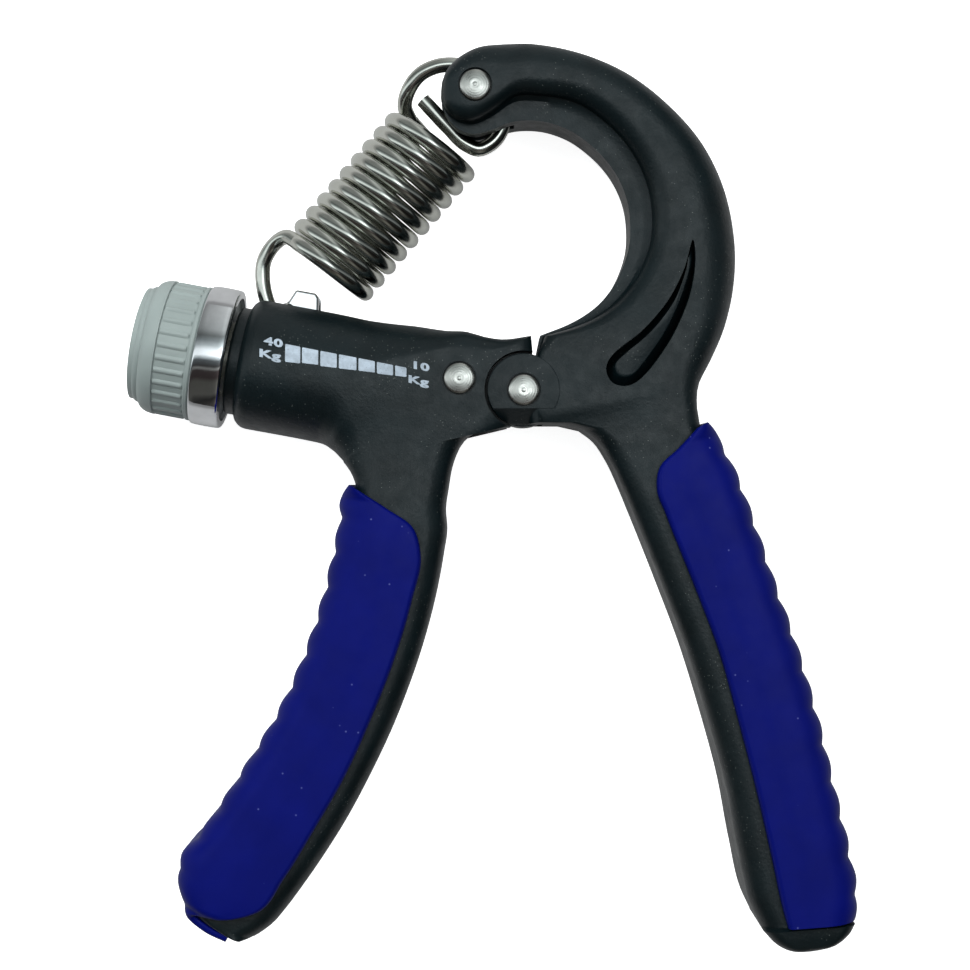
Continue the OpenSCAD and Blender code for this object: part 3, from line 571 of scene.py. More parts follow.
def moulded(name, tone, dust, gloss, grain, shine=0.5):
    """Plastic, rubber or ink: a drifting tone under dust, with uneven gloss and a leather grain."""
    material, tree, shader = new_material(name)
    coat = dusted(tree, toned(tree, *tone), *dust)
    tree.links.new(coat, shader.inputs["Base Color"])
    shader.inputs["Specular IOR Level"].default_value = shine
    glossed(tree, shader, *gloss)
    grained(tree, shader, *grain)
    return material


# Each look as its tone (colour, scale, low, high), dust (colour, scale, amount),
# gloss (scale, low, high) and grain (scale, depth in millimetres)
black_plastic = moulded(
    "black_plastic", (tint(8, 19, 22), 160.0, 0.8, 1.25), (tint(120, 126, 122), 2600.0, 0.9),
    (500.0, 0.34, 0.46), (1900.0, 0.045))
left_core = [[core_edge(row), row[0], CORE_H, CORE_BACK_R, LEG_EDGE_R, 1.0] for row in left_leg]
left_rows = mouth_rows + smooth_rows(barrel_rows, ROW_STEP) + smooth_rows(crotch_rows + left_core, ROW_STEP)
left_handle = piece_from(skin([handle_ring(row) for row in left_rows]), "left_handle_body")
RECESS_R = BOSS_R + BOSS_GAP
slot_plan = [barrel_pt(a, up) for a, up in (
    (0.2, 0.0), (BORE_END - 0.5, 0.0), (BORE_END - 0.5, BARREL_R + PAST), (0.2, BARREL_R + PAST))]
shape(left_handle, [upright((0.0, 0.0), BOSS_R, 1.0 - BODY_H, BODY_H - 1.0)], "UNION")
shape(left_handle, [
    upright((0.0, 0.0), RECESS_R, TONGUE_H, BODY_H + PAST),
    upright((0.0, 0.0), RECESS_R, -BODY_H - PAST, -TONGUE_H),
    upright((0.0, 0.0), RIVET_R + RUN_GAP, -BODY_H, BODY_H),
    barrel_rod(BORE_R, BARREL_START - 1.0, BORE_END),
    barrel_rod(SCREW_R + RUN_GAP, BORE_END - 1.0, SCREW_TAIL + 0.5),
    block(slot_plan, -SLOT_H, SLOT_H)] + sinkings(SCREW_PIN, BODY_H))
fit(left_handle, black_plastic, "left_handle", "left_handle")

# Right handle: the leg, the two cheeks of the hinge and the C arm in one moulding of the same plastic.
# A thin rim runs along the inside of the C, and a leaf-shaped moat is sunk in both faces of the arm.
# The arm's tip is split by a slot that the spring's eye swings in.
ARM_H = 7.9
RIM_H = 4.6
RIM_FLAT = 0.55
RIM_BEND = 0.8
RIM_BEND_UP = 0.12
RIM_DROP = 0.1
CHEEK_GAP = 0.1
CHEEK_RISE = 0.05
CHEEK_FOOT = 4.95
CHEEK_FLAT = 2.5
CHEEK_PAST = 6.5
CHEEK_REACH = 8.0
CHEEK_EDGE = 0.15
CHEEK_CLEAR = 0.2
SLOPE_DROP = 2.25
FOOT_STEP = 0.4
SPRING_PIN = np.array([-7.1, 44.7])
HOOK_AT = barrel_pt(6.6, 8.7)
SPRING_LEN = float(np.linalg.norm(SPRING_PIN - HOOK_AT))
SPRING_DIR = (SPRING_PIN - HOOK_AT) / SPRING_LEN
WIRE_R = 1.125
EYE_SLOT_R = 7.9
EYE_SLOT_BACK = 2.2
EYE_SLOT_GAP = 0.35
LEAF_DEPTH = 2.6
LEAF_MOAT = 1.3
LEAF_DROP = 0.35
LEAF_RISE = 0.1
LEAF_SHARE = 0.38
LEAF_STEPS = 8
# The island's root as its spread and its depths under the moat's bed, and its edge as (size, drop)
LEAF_SPREAD = 1.03
LEAF_ROOT = (0.6, 0.1)
LEAF_EDGE = [(1.0, 0.35), (0.985, 0.14), (0.965, 0.04), (0.93, 0.0)]
# Spans over which the right handle's faces change height: up the arm and down the leg, and where they end
ARM_FALL = (6.0, 20.0)
RIGHT_LEG_RISE = (5.0, 17.0)
FACE_END = -18
# Rows: inner edge, outer edge, half thickness, their roundings and the rim's width
arm_rows = [
    [(-12.2, 43.4), (-12.0, 45.6), ARM_H - 2.2, 0.7, 0.7, 0.3],
    [(-11.5, 41.0), (-11.3, 47.3), ARM_H - 0.8, 1.6, 2.0, 0.6],
    [(-9.9, 38.9), (-9.5, 49.2), ARM_H - 0.1, 2.2, 2.8, 1.2],
    [(-7.4, 38.0), (-6.6, 50.7), ARM_H, 2.4, 3.0, 1.7],
    [(-4.7, 38.6), (-3.6, 51.2), ARM_H, 2.4, 3.6, 2.5],
    [(-1.9, 39.7), (-0.5, 51.35), ARM_H, 2.4, 4.2, 3.6],
    [(2.2, 39.9), (4.0, 50.9), ARM_H, 2.4, 4.6, 3.6],
    [(6.2, 38.8), (9.2, 49.6), ARM_H, 2.6, 5.0, 4.0],
    [(10.0, 36.3), (15.4, 46.9), ARM_H, 2.8, 5.4, 4.0],
    [(13.2, 32.8), (21.4, 42.4), ARM_H, 2.8, 5.6, 3.8],
    [(15.2, 28.6), (26.6, 36.6), ARM_H, 2.8, 5.6, 3.6],
    [(15.8, 24.2), (30.0, 29.6), ARM_H, 2.8, 5.6, 3.4],
    [(15.3, 20.0), (31.5, 21.6), ARM_H, 2.8, 5.6, 3.0],
    [(13.5, 15.8), (31.2, 15.2), ARM_H + 0.1, 2.6, 5.2, 2.6],
    [(10.6, 12.3), (29.8, 9.4), ARM_H + 0.3, 2.6, 4.6, 2.0],
    [(6.6, 9.8), (27.8, 4.8), ARM_H + 0.5, 2.4, 4.0, 1.4],
    [(2.5, 8.2), (26.4, 2.2), BODY_H, 1.6, 3.4, 0.8]]
cheek_rows = [
    [(2.0, BOSS_R + 0.3), (25.9, 1.2), BODY_H, 0.8, 3.0, 0.3],
    [(0.8, 1.0), (25.6, 0.0), BODY_H, 0.8, 2.8, 0.0],
    [(0.8, -CHEEK_FOOT), (25.5, -1.4), BODY_H, EDGE_R, 2.6, 0.0],
    [(5.4, -CHEEK_FOOT), (25.5, -2.6), BODY_H, EDGE_R, EDGE_R, 0.0]]
right_leg = whole_rows([
    [(8.6, -5.7), (25.2, -5.6), (27.0, -4.6), 1.2, GRIP_H, 1.0],
    [(10.8, -7.4), (22.4, -8.6), (28.8, -7.6), GRIP_WALL - 0.3, GRIP_H, 1.0],
    [(12.8, -10.4), (19.8, -11.2), (30.4, -10.6)],
    [(14.4, -13.8), (19.3, -14.4), (31.8, -13.8)],
    [(16.3, -18.4), (20.7, -18.4), (33.4, -18.2)],
    [(20.2, -28.2), (24.6, -28.2), (36.8, -28.2)],
    [(23.9, -38.0), (28.3, -38.0), (40.2, -38.0)],
    [(27.0, -48.0), (31.1, -48.0), (43.1, -48.0)],
    [(29.7, -58.0), (33.7, -58.0), (45.5, -58.0)],
    [(31.6, -68.0), (36.0, -68.0), (47.8, -68.0)],
    [(33.4, -75.6), (37.6, -75.4), (48.8, -74.6)],
    [(34.8, -78.6), (38.4, -78.3), (48.4, -77.5)]])
foot_rows = [
    [(35.0, -79.0), (48.4, -77.9), GRIP_H - 0.8, EDGE_R, EDGE_R, 0.0],
    [(36.8, -80.9), (47.6, -79.4), GRIP_H - 1.0, EDGE_R, EDGE_R, 0.0],
    [(39.0, -82.0), (45.8, -81.0), GRIP_H - 1.6, 1.8, 1.8, 0.0],
    [(40.8, -82.2), (44.2, -81.7), GRIP_H - 2.8, 1.2, 1.2, 0.0]]
# The moat's point, pairs of outer and inner edge down from it, and its round end
leaf_tip = (24.7, 22.0)
leaf_outer = [(25.1, 18.6), (24.2, 13.6), (21.8, 8.0), (18.4, 3.0)]
leaf_end = [(15.6, 0.7), (13.0, 1.0), (12.0, 3.2)]
leaf_inner = [(13.4, 5.6), (17.4, 8.8), (21.0, 13.0), (23.4, 17.6)]
leaf_heart = (15.8, 4.3)
island_tip = (24.4, 20.0)


def right_face(y):
    """Half thickness of the right handle: the arm, the flat hinge cheeks, and the leg."""
    return BODY_H - (BODY_H - ARM_H) * eased(y, *ARM_FALL) + (CORE_H - BODY_H) * eased(-y, *RIGHT_LEG_RISE)


def arm_ring(row):
    """A closed ring of the right handle, with the thin rim along its inner edge."""
    inner, outer, h, r1, r2, rim = row
    rim = max(0.0, rim)
    w = float(np.linalg.norm(np.subtract(outer, inner)))
    main = [(x + rim, z) for x, z in plate_section(w - rim, h, r1, r2)]
    bend = RIM_H + RIM_BEND_UP * (h - r1 - RIM_H)
    ledge = [(0, RIM_H), (RIM_FLAT * rim, RIM_H), (RIM_BEND * rim, bend), (rim, h - r1 - RIM_DROP)]
    section = ledge + main + [(x, -z) for x, z in reversed(ledge)]
    if h < ARM_H or outer[1] < FACE_END:
        return on_line(section, inner, outer)
    return [(x, y, z * right_face(y) / h) for x, y, z in on_line(section, inner, outer)]


def closed_curve(points, count):
    """A smooth closed curve through plan points."""
    p = np.asarray(points, float)
    out = []
    for i in range(len(p)):
        a, b, c, d = p[i - 1], p[i], p[(i + 1) % len(p)], p[(i + 2) % len(p)]
        for t in np.linspace(0, 1, count, endpoint=False):
            bend = (2 * a - 5 * b + 4 * c - d) + t * (3 * (b - c) + d - a)
            out.append(b + 0.5 * t * ((c - a) + t * bend))
    return np.array(out)


def toward(start, end):
    """A point inside the moat's edge by its width, or by a share of the way where the leaf is narrow."""
    start = np.asarray(start, float)
    way = np.asarray(end, float) - start
    reach = float(np.linalg.norm(way))
    return start + way / reach * min(LEAF_MOAT, LEAF_SHARE * reach)


def to_back(piece):
    """Mirrors a piece from the front face to the back one."""
    middle = Matrix.Translation((0.0, 0.0, HINGE[2] * MM))
    piece.data.transform(middle @ Matrix.Scale(-1.0, 4, (0.0, 0.0, 1.0)) @ middle.inverted())
    piece.data.flip_normals()
    return piece


leaf_outline = closed_curve([leaf_tip] + leaf_outer + leaf_end + leaf_inner, LEAF_STEPS)
leaf_bed = ARM_H + LEAF_RISE - LEAF_DEPTH


def leaf_moat():
    """The cutter of the whole leaf at the front face."""
    return block(leaf_outline, leaf_bed, ARM_H + PAST)


def leaf_island():
    """The leaf that stands in the moat, drawn in towards its middle over its rounded edge."""
    pairs = list(zip(leaf_outer, reversed(leaf_inner)))
    island = [island_tip] + [toward(a, b) for a, b in pairs] + [toward(p, leaf_heart) for p in leaf_end]
    island += [toward(b, a) for a, b in reversed(pairs)]
    curve = closed_curve(island, LEAF_STEPS)
    middle = curve.mean(axis=0)
    top = ARM_H + LEAF_RISE - LEAF_DROP
    steps = [(leaf_outline, LEAF_SPREAD, leaf_bed - depth) for depth in LEAF_ROOT]
    steps += [(curve, size, top - drop) for size, drop in LEAF_EDGE]
    rings = [[(*(middle + (c - middle) * size), z) for c in line] for line, size, z in steps]
    return piece_from(skin(rings), "leaf")


right_core = [[row[0], core_edge(row), CORE_H, LEG_EDGE_R, CORE_BACK_R, 0.0] for row in right_leg]
right_rows = smooth_rows(arm_rows, ROW_STEP) + cheek_rows
right_rows += smooth_rows(right_core, ROW_STEP) + smooth_rows(foot_rows, FOOT_STEP)
right_handle = piece_from(skin([arm_ring(row) for row in right_rows]), "right_handle_body")
CHEEK_H = BODY_H + CHEEK_RISE
cheek_disc = upright((0.0, 0.0), BOSS_R, -CHEEK_H, CHEEK_H, rim=CHEEK_EDGE)
slope_low = TONGUE_H + CHEEK_CLEAR
slope_top = CHEEK_H + CHEEK_CLEAR
foot_slope = [
    (-CHEEK_FLAT, slope_top), (-CHEEK_PAST, slope_top), (-CHEEK_PAST, slope_low), (-CHEEK_FOOT, slope_low),
    (-CHEEK_FOOT, CHEEK_H - SLOPE_DROP)]
slope_ends = [
    [[(x, y, side * z) for y, z in foot_slope] for x in (-CHEEK_REACH, CHEEK_REACH)] for side in (1, -1)]
shape(cheek_disc, [piece_from(skin(ends), "slope") for ends in slope_ends])
shape(right_handle, [cheek_disc], "UNION")
eye_slot_at = SPRING_PIN - EYE_SLOT_BACK * SPRING_DIR
EYE_SLOT_H = WIRE_R + EYE_SLOT_GAP
shape(right_handle, [
    upright((0.0, 0.0), RECESS_R, -TONGUE_H - CHEEK_GAP, TONGUE_H + CHEEK_GAP),
    upright(eye_slot_at, EYE_SLOT_R, -EYE_SLOT_H, EYE_SLOT_H), leaf_moat(), to_back(leaf_moat())]
    + sinkings((0.0, 0.0), BODY_H) + sinkings(SPRING_PIN, ARM_H))
shape(right_handle, [leaf_island(), to_back(leaf_island())], "UNION")
fit(right_handle, black_plastic, "right_handle", "right_handle")

# Grips: soft blue rubber sleeves moulded over the outside of the two legs, open along the inside.
# The outside is a row of round bulges for the fingers, which die out towards the flat faces.
# The left one ends in a thin web that wraps the handle's end.
LIP_R = 0.8
GRIP_EDGE_R = 4.4
CAVITY_R = 1.9
RIPPLE = 0.6
RIPPLE_FADE = 3
LEFT_RIPPLE = 5.2
RIGHT_RIPPLE = 5.6
GRIP_STEP = 0.4
blue_rubber = moulded(
    "blue_rubber", (tint(5, 14, 100), 140.0, 0.9, 1.1), (tint(96, 104, 170), 1100.0, 0.2),
    (420.0, 0.38, 0.50), (1500.0, 0.012), 0.12)


def grip_ring(row, rise):
    """A U-shaped ring of a grip: its outside, then its inside on the way back."""
    lip_at = np.asarray(row[1], float)
    outer = np.asarray(row[2], float)
    w = float(np.linalg.norm(outer - lip_at))
    c = max(0.02, w - row[3])
    h = min(GRIP_H, row[4])
    lip = min(LIP_R, w / 4)
    r = min(GRIP_EDGE_R, w - lip - 0.1)
    half = [(lip - lip * math.cos(t), h - lip + lip * math.sin(t)) for t in QUARTER]
    for t in QUARTER:
        bulge = rise * math.sin(t) ** RIPPLE_FADE
        half.append((w - r + r * math.sin(t) + bulge, h - r + r * math.cos(t)))
    z = h - GRIP_H + CORE_H + FIX_GAP
    q = min(CAVITY_R, c / 2)
    inner = [(min(LIP_R, c / 3) * k / 2, z) for k in range(3)]
    inner += [(c - q + q * math.sin(t), z - q + q * math.cos(t)) for t in QUARTER]
    outside = half + [(x, -y) for x, y in reversed(half)]
    inside = inner + [(x, -y) for x, y in reversed(inner)]
    return on_line(outside + inside[::-1], lip_at, outer)


def grip_sleeve(name, leg, pitch):
    """A grip along its leg's rows, with a bulge at every pitch along its outer edge."""
    rows = smooth_rows(leg, GRIP_STEP)
    run = 0.0
    rings = []
    for i, row in enumerate(rows):
        if i > 0:
            run += float(np.linalg.norm(np.subtract(row[2], rows[i - 1][2])))
        bulge = abs(math.sin(math.pi * run / pitch)) - 0.5
        rings.append(grip_ring(row, RIPPLE * min(1.0, max(0.0, row[5])) * bulge))
    return piece_from(skin(rings), name)


left_sleeve = grip_sleeve("left_grip_sleeve", left_leg, LEFT_RIPPLE)
right_sleeve = grip_sleeve("right_grip_sleeve", right_leg, RIGHT_RIPPLE)
fit(left_sleeve, blue_rubber, "left_grip", "left_handle")
fit(right_sleeve, blue_rubber, "right_grip", "right_handle")

# Rivets: three turned steel pins, headed over in sinkings at both faces: hinge, screw and spring.
# Their heads are burnished in fine rings, with a small round centre mark.
RIVET_DOME = 0.3
MARK_R = 0.42
MARK_W = 0.16
MARK_D = 0.05
TURN_STEPS = 96
TURN_CRISP = 40.0


def turned(profile, at, axis, side, steps=TURN_STEPS):
    """A bmesh turned about an axis through a point, from its profile of (station, radius)."""
    bm = bmesh.new()
    at = np.asarray(at, float)
    line = [at + a * np.asarray(axis) + r * np.asarray(side) for a, r in profile]
    verts = [bm.verts.new(p) for p in place(line)]
    edges = [bm.edges.new(pair) for pair in zip(verts, verts[1:])]
    bmesh.ops.spin(
        bm, geom=verts + edges, cent=place(at), axis=axis, angle=2 * math.pi, steps=steps, use_merge=True)
    bmesh.ops.remove_doubles(bm, verts=bm.verts, dist=MERGE)
    return bm


def metal(name, tone, gloss):
    """Bare metal with a drifting tone and uneven gloss: its material, tree and shader."""
    material, tree, shader = new_material(name)
    shader.inputs["Metallic"].default_value = 1.0
    tree.links.new(toned(tree, *tone), shader.inputs["Base Color"])
    glossed(tree, shader, *gloss)
    return material, tree, shader


def marked(tree, shader, mapping, marks, bump):
    """Joins mapped marks and their bump to a shader's normal."""
    spot = add(tree, "ShaderNodeTexCoord")
    wire(tree, spot, "Object", mapping, "Vector")
    wire(tree, mapping, "Vector", marks, "Vector")
    wire(tree, marks, "Fac", bump, "Height")
    wire(tree, bump, "Normal", shader, "Normal")


def ringed_metal(name, colour, at):
    """Burnished steel with fine turning rings round an upright axis."""
    material, tree, shader = metal(name, (colour, 300.0, 0.82, 1.06), (900.0, 0.22, 0.36))
    centre = add(tree, "ShaderNodeMapping", vector_type="POINT", Location=-place((*at, 0.0)))
    rings = add(
        tree, "ShaderNodeTexWave", wave_type="RINGS", rings_direction="Z", Scale=900.0, Distortion=0.6)
    marked(tree, shader, centre, rings, add(tree, "ShaderNodeBump", Strength=0.3, Distance=0.012 * MM))
    return material


def head_profile(h):
    """Half a rivet from its head's middle to its shank's: (height, radius)."""
    def dome(r):
        return h + RIVET_DOME * (1 - (r / HEAD_R) ** 2)
    mark = [(dome(MARK_R - MARK_W), MARK_R - MARK_W), (dome(MARK_R) - MARK_D, MARK_R),
            (dome(MARK_R + MARK_W), MARK_R + MARK_W)]
    crown = [(dome(r), r) for r in np.linspace(0.8, HEAD_R - 0.2, 8)]
    rim = [(h - 0.02, HEAD_R - 0.05), (h - 0.12, HEAD_R), (h - HEAD_T, HEAD_R), (h - HEAD_T, RIVET_R)]
    return [(dome(0.0), 0.0)] + mark + crown + rim


for node, at, h, body in (
        ("pivot_rivet", (0.0, 0.0), BODY_H, "right_handle"), ("screw_pin", SCREW_PIN, BODY_H, "left_handle"),
        ("spring_pin", tuple(SPRING_PIN), ARM_H, "right_handle")):
    half = head_profile(h)
    profile = half + [(-z, r) for z, r in reversed(half)]
    rivet_bm = turned(profile, (*at, 0.0), (0.0, 0.0, 1.0), (1.0, 0.0, 0.0))
    rivet = piece_from(rivet_bm, node + "_turned", TURN_CRISP)
    fit(rivet, ringed_metal(node + "_steel", tint(222, 221, 215), at), node, body)

# Adjusting screw: a zinc-plated steel screw that lies in the barrel and turns with the knob.
# Its thread has a pitch of 2 mm, and a groove near its tail is held by the screw's rivet.
# The thread is one ridge wound along the screw's core.
THREAD_PITCH = 2.0
THREAD_FROM = 4.0
THREAD_TURNS = 12
THREAD_ROOT = 2.45
THREAD_STEPS = 32
SCREW_END = -9.0
GROOVE_A = float(np.dot(np.subtract(SCREW_PIN, KNOB_FACE), ALONG))
GROOVE_R = float(np.dot(np.subtract(SCREW_PIN, KNOB_FACE), ACROSS)) - RIVET_R - RUN_GAP
GROOVE_W = 3.6
GROOVE_FROM = GROOVE_A - GROOVE_W / 2
GROOVE_TO = GROOVE_A + GROOVE_W / 2
THREAD_END = THREAD_FROM + THREAD_PITCH * (THREAD_TURNS + 1)
SCREW_STEPS = 64
SCREW_CRISP = 30.0
BARREL_AXIS = np.array([*ALONG, 0.0])
BARREL_UP = np.array([*ACROSS, 0.0])
BARREL_AT = np.array([*KNOB_FACE, 0.0])


def plated(name, colour, low, high, depth, scale=(600.0, 600.0, 600.0)):
    """Plated metal with a drifting tone, uneven gloss and fine marks drawn out by the scale."""
    material, tree, shader = metal(name, (colour, 260.0, 0.88, 1.05), (700.0, low, high))
    stretch = add(tree, "ShaderNodeMapping", Scale=scale)
    marks = add(tree, "ShaderNodeTexNoise", Scale=1.0, Detail=3.0)
    marked(tree, shader, stretch, marks, add(tree, "ShaderNodeBump", Strength=1.0, Distance=depth * MM))
    return material


def lathed(profile, steps=TURN_STEPS):
    """A bmesh turned about the barrel's axis."""
    return turned(profile, BARREL_AT, BARREL_AXIS, BARREL_UP, steps)


zinc_steel = plated("zinc_steel", tint(196, 194, 186), 0.22, 0.38, 0.006)
screw_profile = [
    (SCREW_END, 0.0), (SCREW_END, SCREW_R - 0.3), (SCREW_END + 0.3, SCREW_R), (THREAD_FROM - 0.6, SCREW_R),
    (THREAD_FROM, THREAD_ROOT), (THREAD_END, THREAD_ROOT), (THREAD_END + 0.5, SCREW_R),
    (GROOVE_FROM, SCREW_R), (GROOVE_FROM, GROOVE_R), (GROOVE_TO, GROOVE_R), (GROOVE_TO, SCREW_R),
    (SCREW_TAIL - 0.4, SCREW_R), (SCREW_TAIL, SCREW_R - 0.4), (SCREW_TAIL, 0.0)]
screw_bm = lathed(screw_profile, SCREW_STEPS)
ridge = [(0.15, THREAD_ROOT - 0.1), (0.75, SCREW_R - 0.04), (1.15, SCREW_R - 0.04), (1.75, THREAD_ROOT - 0.1)]
ridge_line = [BARREL_AT + (THREAD_FROM + a) * BARREL_AXIS + r * BARREL_UP for a, r in ridge]
ridge_end = drawn_face(screw_bm, ridge_line)
ridge_geom = list(ridge_end[0].verts) + list(ridge_end[0].edges) + ridge_end
bmesh.ops.spin(
    screw_bm, geom=ridge_geom, cent=place(BARREL_AT), axis=BARREL_AXIS,
    dvec=Vector(BARREL_AXIS) * (THREAD_PITCH * MM / THREAD_STEPS), angle=2 * math.pi * THREAD_TURNS,
    steps=THREAD_STEPS * THREAD_TURNS)
screw = piece_from(screw_bm, "threaded_screw", SCREW_CRISP)
fit(screw, zinc_steel, "adjusting_screw", "adjuster")

# Bush: a turned black plastic bush that closes the barrel's mouth and guides the screw.
# Its round flange is the dark neck between the barrel and the bright ring.
BUSH_FACE = -0.4
BUSH_END = BARREL_START + 2.4
NECK_R = BARREL_R - MOUTH_R + 0.25
NECK_EDGE = 0.5
bush_profile = [(BUSH_END, SCREW_R + RUN_GAP), (BUSH_FACE, SCREW_R + RUN_GAP)]
bush_profile += rounded(BUSH_FACE, NECK_R, NECK_EDGE, NECK_EDGE, 6)
bush_profile += [(BARREL_START, NECK_R), (BARREL_START, BORE_R - FIX_GAP), (BUSH_END, BORE_R - FIX_GAP)]
bush_profile += [(BUSH_END, SCREW_R + RUN_GAP)]
bush = piece_from(lathed(bush_profile), "neck_bush", TURN_CRISP)
fit(bush, black_plastic, "barrel_bush", "left_handle")

# Washer and knob screw: a steel washer takes the screw's pull between the bush and the knob.
# A small screw under the cap holds the knob on the adjusting screw. Both keep their solids.
for node in ("thrust_washer", "knob_screw"):
    dress(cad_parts[node], zinc_steel)

# Slider: a chromed nut on the screw, with a forked lug that stands out of the barrel's slot.
# The lug's back slopes, its edges are rounded, and a steel cross pin in it holds the spring's hook.
SLIDER_START = 4.6
SLIDER_LEN = 7.4
SLIDER_GAP = 0.15
FORK_H = 2.8
FORK_FLOOR = 1.4
FORK_TOP = 14.0
FORK_GAP = 0.15
LUG_EDGE = 0.3
LUG_CRISP = 12.0
lug_profile = [
    (0.0, 2.0), (0.0, 8.0), (0.65, 9.3), (1.75, 9.9), (2.6, 11.9), (5.6, 11.9), (6.1, 11.3), (6.4, 9.4),
    (7.4, 6.4), (7.4, 2.0)]
chrome = plated("chrome_steel", tint(243, 244, 245), 0.05, 0.12, 0.003)
lug_plan = [barrel_pt(SLIDER_START + a, up) for a, up in lug_profile]
lug_bm = skin([[(*c, z) for c in lug_plan] for z in (-FORK_H, FORK_H)])
bmesh.ops.bevel(
    lug_bm, geom=list(lug_bm.edges), offset=LUG_EDGE * MM, segments=3, profile=0.5, affect="EDGES",
    material=-1)
slider = piece_from(lug_bm, "slider_lug", LUG_CRISP)
fork_up = SCREW_R + FORK_FLOOR
fork_past = SLIDER_LEN + 1.0
fork_plan = [barrel_pt(SLIDER_START + a, up) for a, up in (
    (-1.0, fork_up), (fork_past, fork_up), (fork_past, FORK_TOP), (-1.0, FORK_TOP))]
nut = barrel_rod(BORE_R - SLIDER_GAP, SLIDER_START, SLIDER_START + SLIDER_LEN)
shape(slider, [nut], "UNION", LUG_CRISP)
shape(slider, [
    barrel_rod(SCREW_R + RUN_GAP, SLIDER_START - 1.0, SLIDER_START + SLIDER_LEN + 1.0),
    block(fork_plan, -WIRE_R - FORK_GAP, WIRE_R + FORK_GAP)], angle=LUG_CRISP)
fit(slider, chrome, "slider_nut", "slider")
dress(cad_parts["hook_pin"], zinc_steel)

# Knob: a turned grey plastic hand wheel with a smooth shoulder, 32 narrow ribs and a lip.
# A domed cap of the same plastic is pressed into its end, over the screw that holds it.
KNOB_R = 10.1
RING_IN = -0.6
RING_OUT = -5.1
KNOB_END = -13.0
KNOB_BOSS = -1.3
SHOULDER_W = 2.3
SHOULDER_R = 1.25
KNOB_LIP = 0.8
RIBS = 32
RIB_W = 0.75
RIB_RISE = 0.3
RIB_STEPS = 12
CAP_R = 8.8
CAP_EDGE = 1.2
CAP_DOME = 1.09
CAP_ROUND = 0.7
RING_SEAT_R = 9.3
KNOB_CRISP = 32.0
grey_plastic = moulded(
    "grey_plastic", (tint(146, 157, 155), 180.0, 0.95, 1.05), (tint(96, 100, 98), 700.0, 0.05),
    (500.0, 0.34, 0.46), (1800.0, 0.008))
waist_r = KNOB_R - RIB_RISE
waist_from = KNOB_END + SHOULDER_W
waist_to = RING_OUT - KNOB_LIP
knob_profile = [(KNOB_END + 1.0, 0.0), (KNOB_END + 1.0, CAP_R), (KNOB_END, CAP_R)]
knob_profile += rounded(KNOB_END, KNOB_R, SHOULDER_W, SHOULDER_R, 12)
knob_profile += [(waist_from + 0.12, waist_r)]
knob_profile += [(a, waist_r) for a in np.linspace(waist_from + 0.3, waist_to - 0.3, 8)]
knob_profile += [(waist_to - 0.12, waist_r), (waist_to, KNOB_R - 0.12), (waist_to + 0.15, KNOB_R)]
knob_profile += [(RING_OUT - 0.25, KNOB_R), (RING_OUT, KNOB_R - 0.2), (RING_OUT, RING_SEAT_R)]
knob_profile += [(KNOB_BOSS, RING_SEAT_R), (KNOB_BOSS, SCREW_R), (SCREW_END, SCREW_R), (SCREW_END, 0.0)]
knob_bm = lathed(knob_profile, RIBS * RIB_STEPS)
knob_low = waist_from + 0.2
knob_high = waist_to - 0.2
for vert in knob_bm.verts:
    spot = np.asarray(vert.co) / MM - HINGE - BARREL_AT
    station = float(np.dot(spot, BARREL_AXIS))
    out = spot - station * BARREL_AXIS
    r = float(np.linalg.norm(out))
    if knob_low < station < knob_high and abs(r - waist_r) < 0.01:
        turn = math.atan2(out[2], float(np.dot(out, BARREL_UP)))
        gap = (turn * RIBS / (2 * math.pi) + 0.5) % 1.0 - 0.5
        reach = gap * 2 * math.pi * waist_r / RIBS / (RIB_W / 2)
        if abs(reach) < 1:
            rise = (RIB_RISE - 0.05) * math.sqrt(1 - reach ** 2)
            vert.co += Vector(out / r * rise * MM)
knob = piece_from(knob_bm, "ribbed_knob", KNOB_CRISP)
cap_profile = [(KNOB_END + 0.9, 0.0), (KNOB_END + 0.9, CAP_R - FIX_GAP)]
cap_rim = KNOB_END - CAP_EDGE + 0.2
cap_profile += [
    (cap_rim + CAP_ROUND * (1 - math.sin(t)), CAP_R - FIX_GAP - CAP_ROUND * (1 - math.cos(t)))
    for t in np.linspace(0, math.pi / 3, 6)]
cap_profile += [
    (KNOB_END - CAP_EDGE - CAP_DOME * math.sqrt(1 - (r / CAP_R) ** 2), r)
    for r in CAP_R * np.sin(np.radians([72, 60, 50, 40, 30, 20, 10, 0]))]
cap = piece_from(lathed(cap_profile), "knob_end_cap", KNOB_CRISP)
fit(knob, grey_plastic, "knob", "adjuster")
fit(cap, grey_plastic, "knob_cap", "adjuster")

# Bright ring: a polished chrome band pressed on beside the knob's lip.
# It is slightly crowned, with softened edges.
RING_R = 10.5
RING_CROWN = 0.07
RING_EDGE = 0.35
RING_STEPS = 160
ring_chrome = plated("ring_chrome", tint(228, 229, 231), 0.04, 0.10, 0.004, (900.0, 900.0, 900.0))
ring_width = RING_IN - RING_OUT
ring_profile = [(RING_OUT, RING_SEAT_R + FIX_GAP)]
ring_profile += rounded(RING_OUT, RING_R - RING_CROWN, RING_EDGE, RING_EDGE, 6)
ring_profile += [
    (RING_OUT + ring_width * s, RING_R - RING_CROWN * (2 * s - 1) ** 2) for s in np.linspace(0.15, 0.85, 9)]
ring_profile += reversed(rounded(RING_IN, RING_R - RING_CROWN, -RING_EDGE, RING_EDGE, 6))
ring_profile += [(RING_IN, RING_SEAT_R + FIX_GAP), (RING_OUT, RING_SEAT_R + FIX_GAP)]
bright_ring = piece_from(lathed(ring_profile, RING_STEPS), "bright_ring", TURN_CRISP)
fit(bright_ring, ring_chrome, "knob_ring", "adjuster")
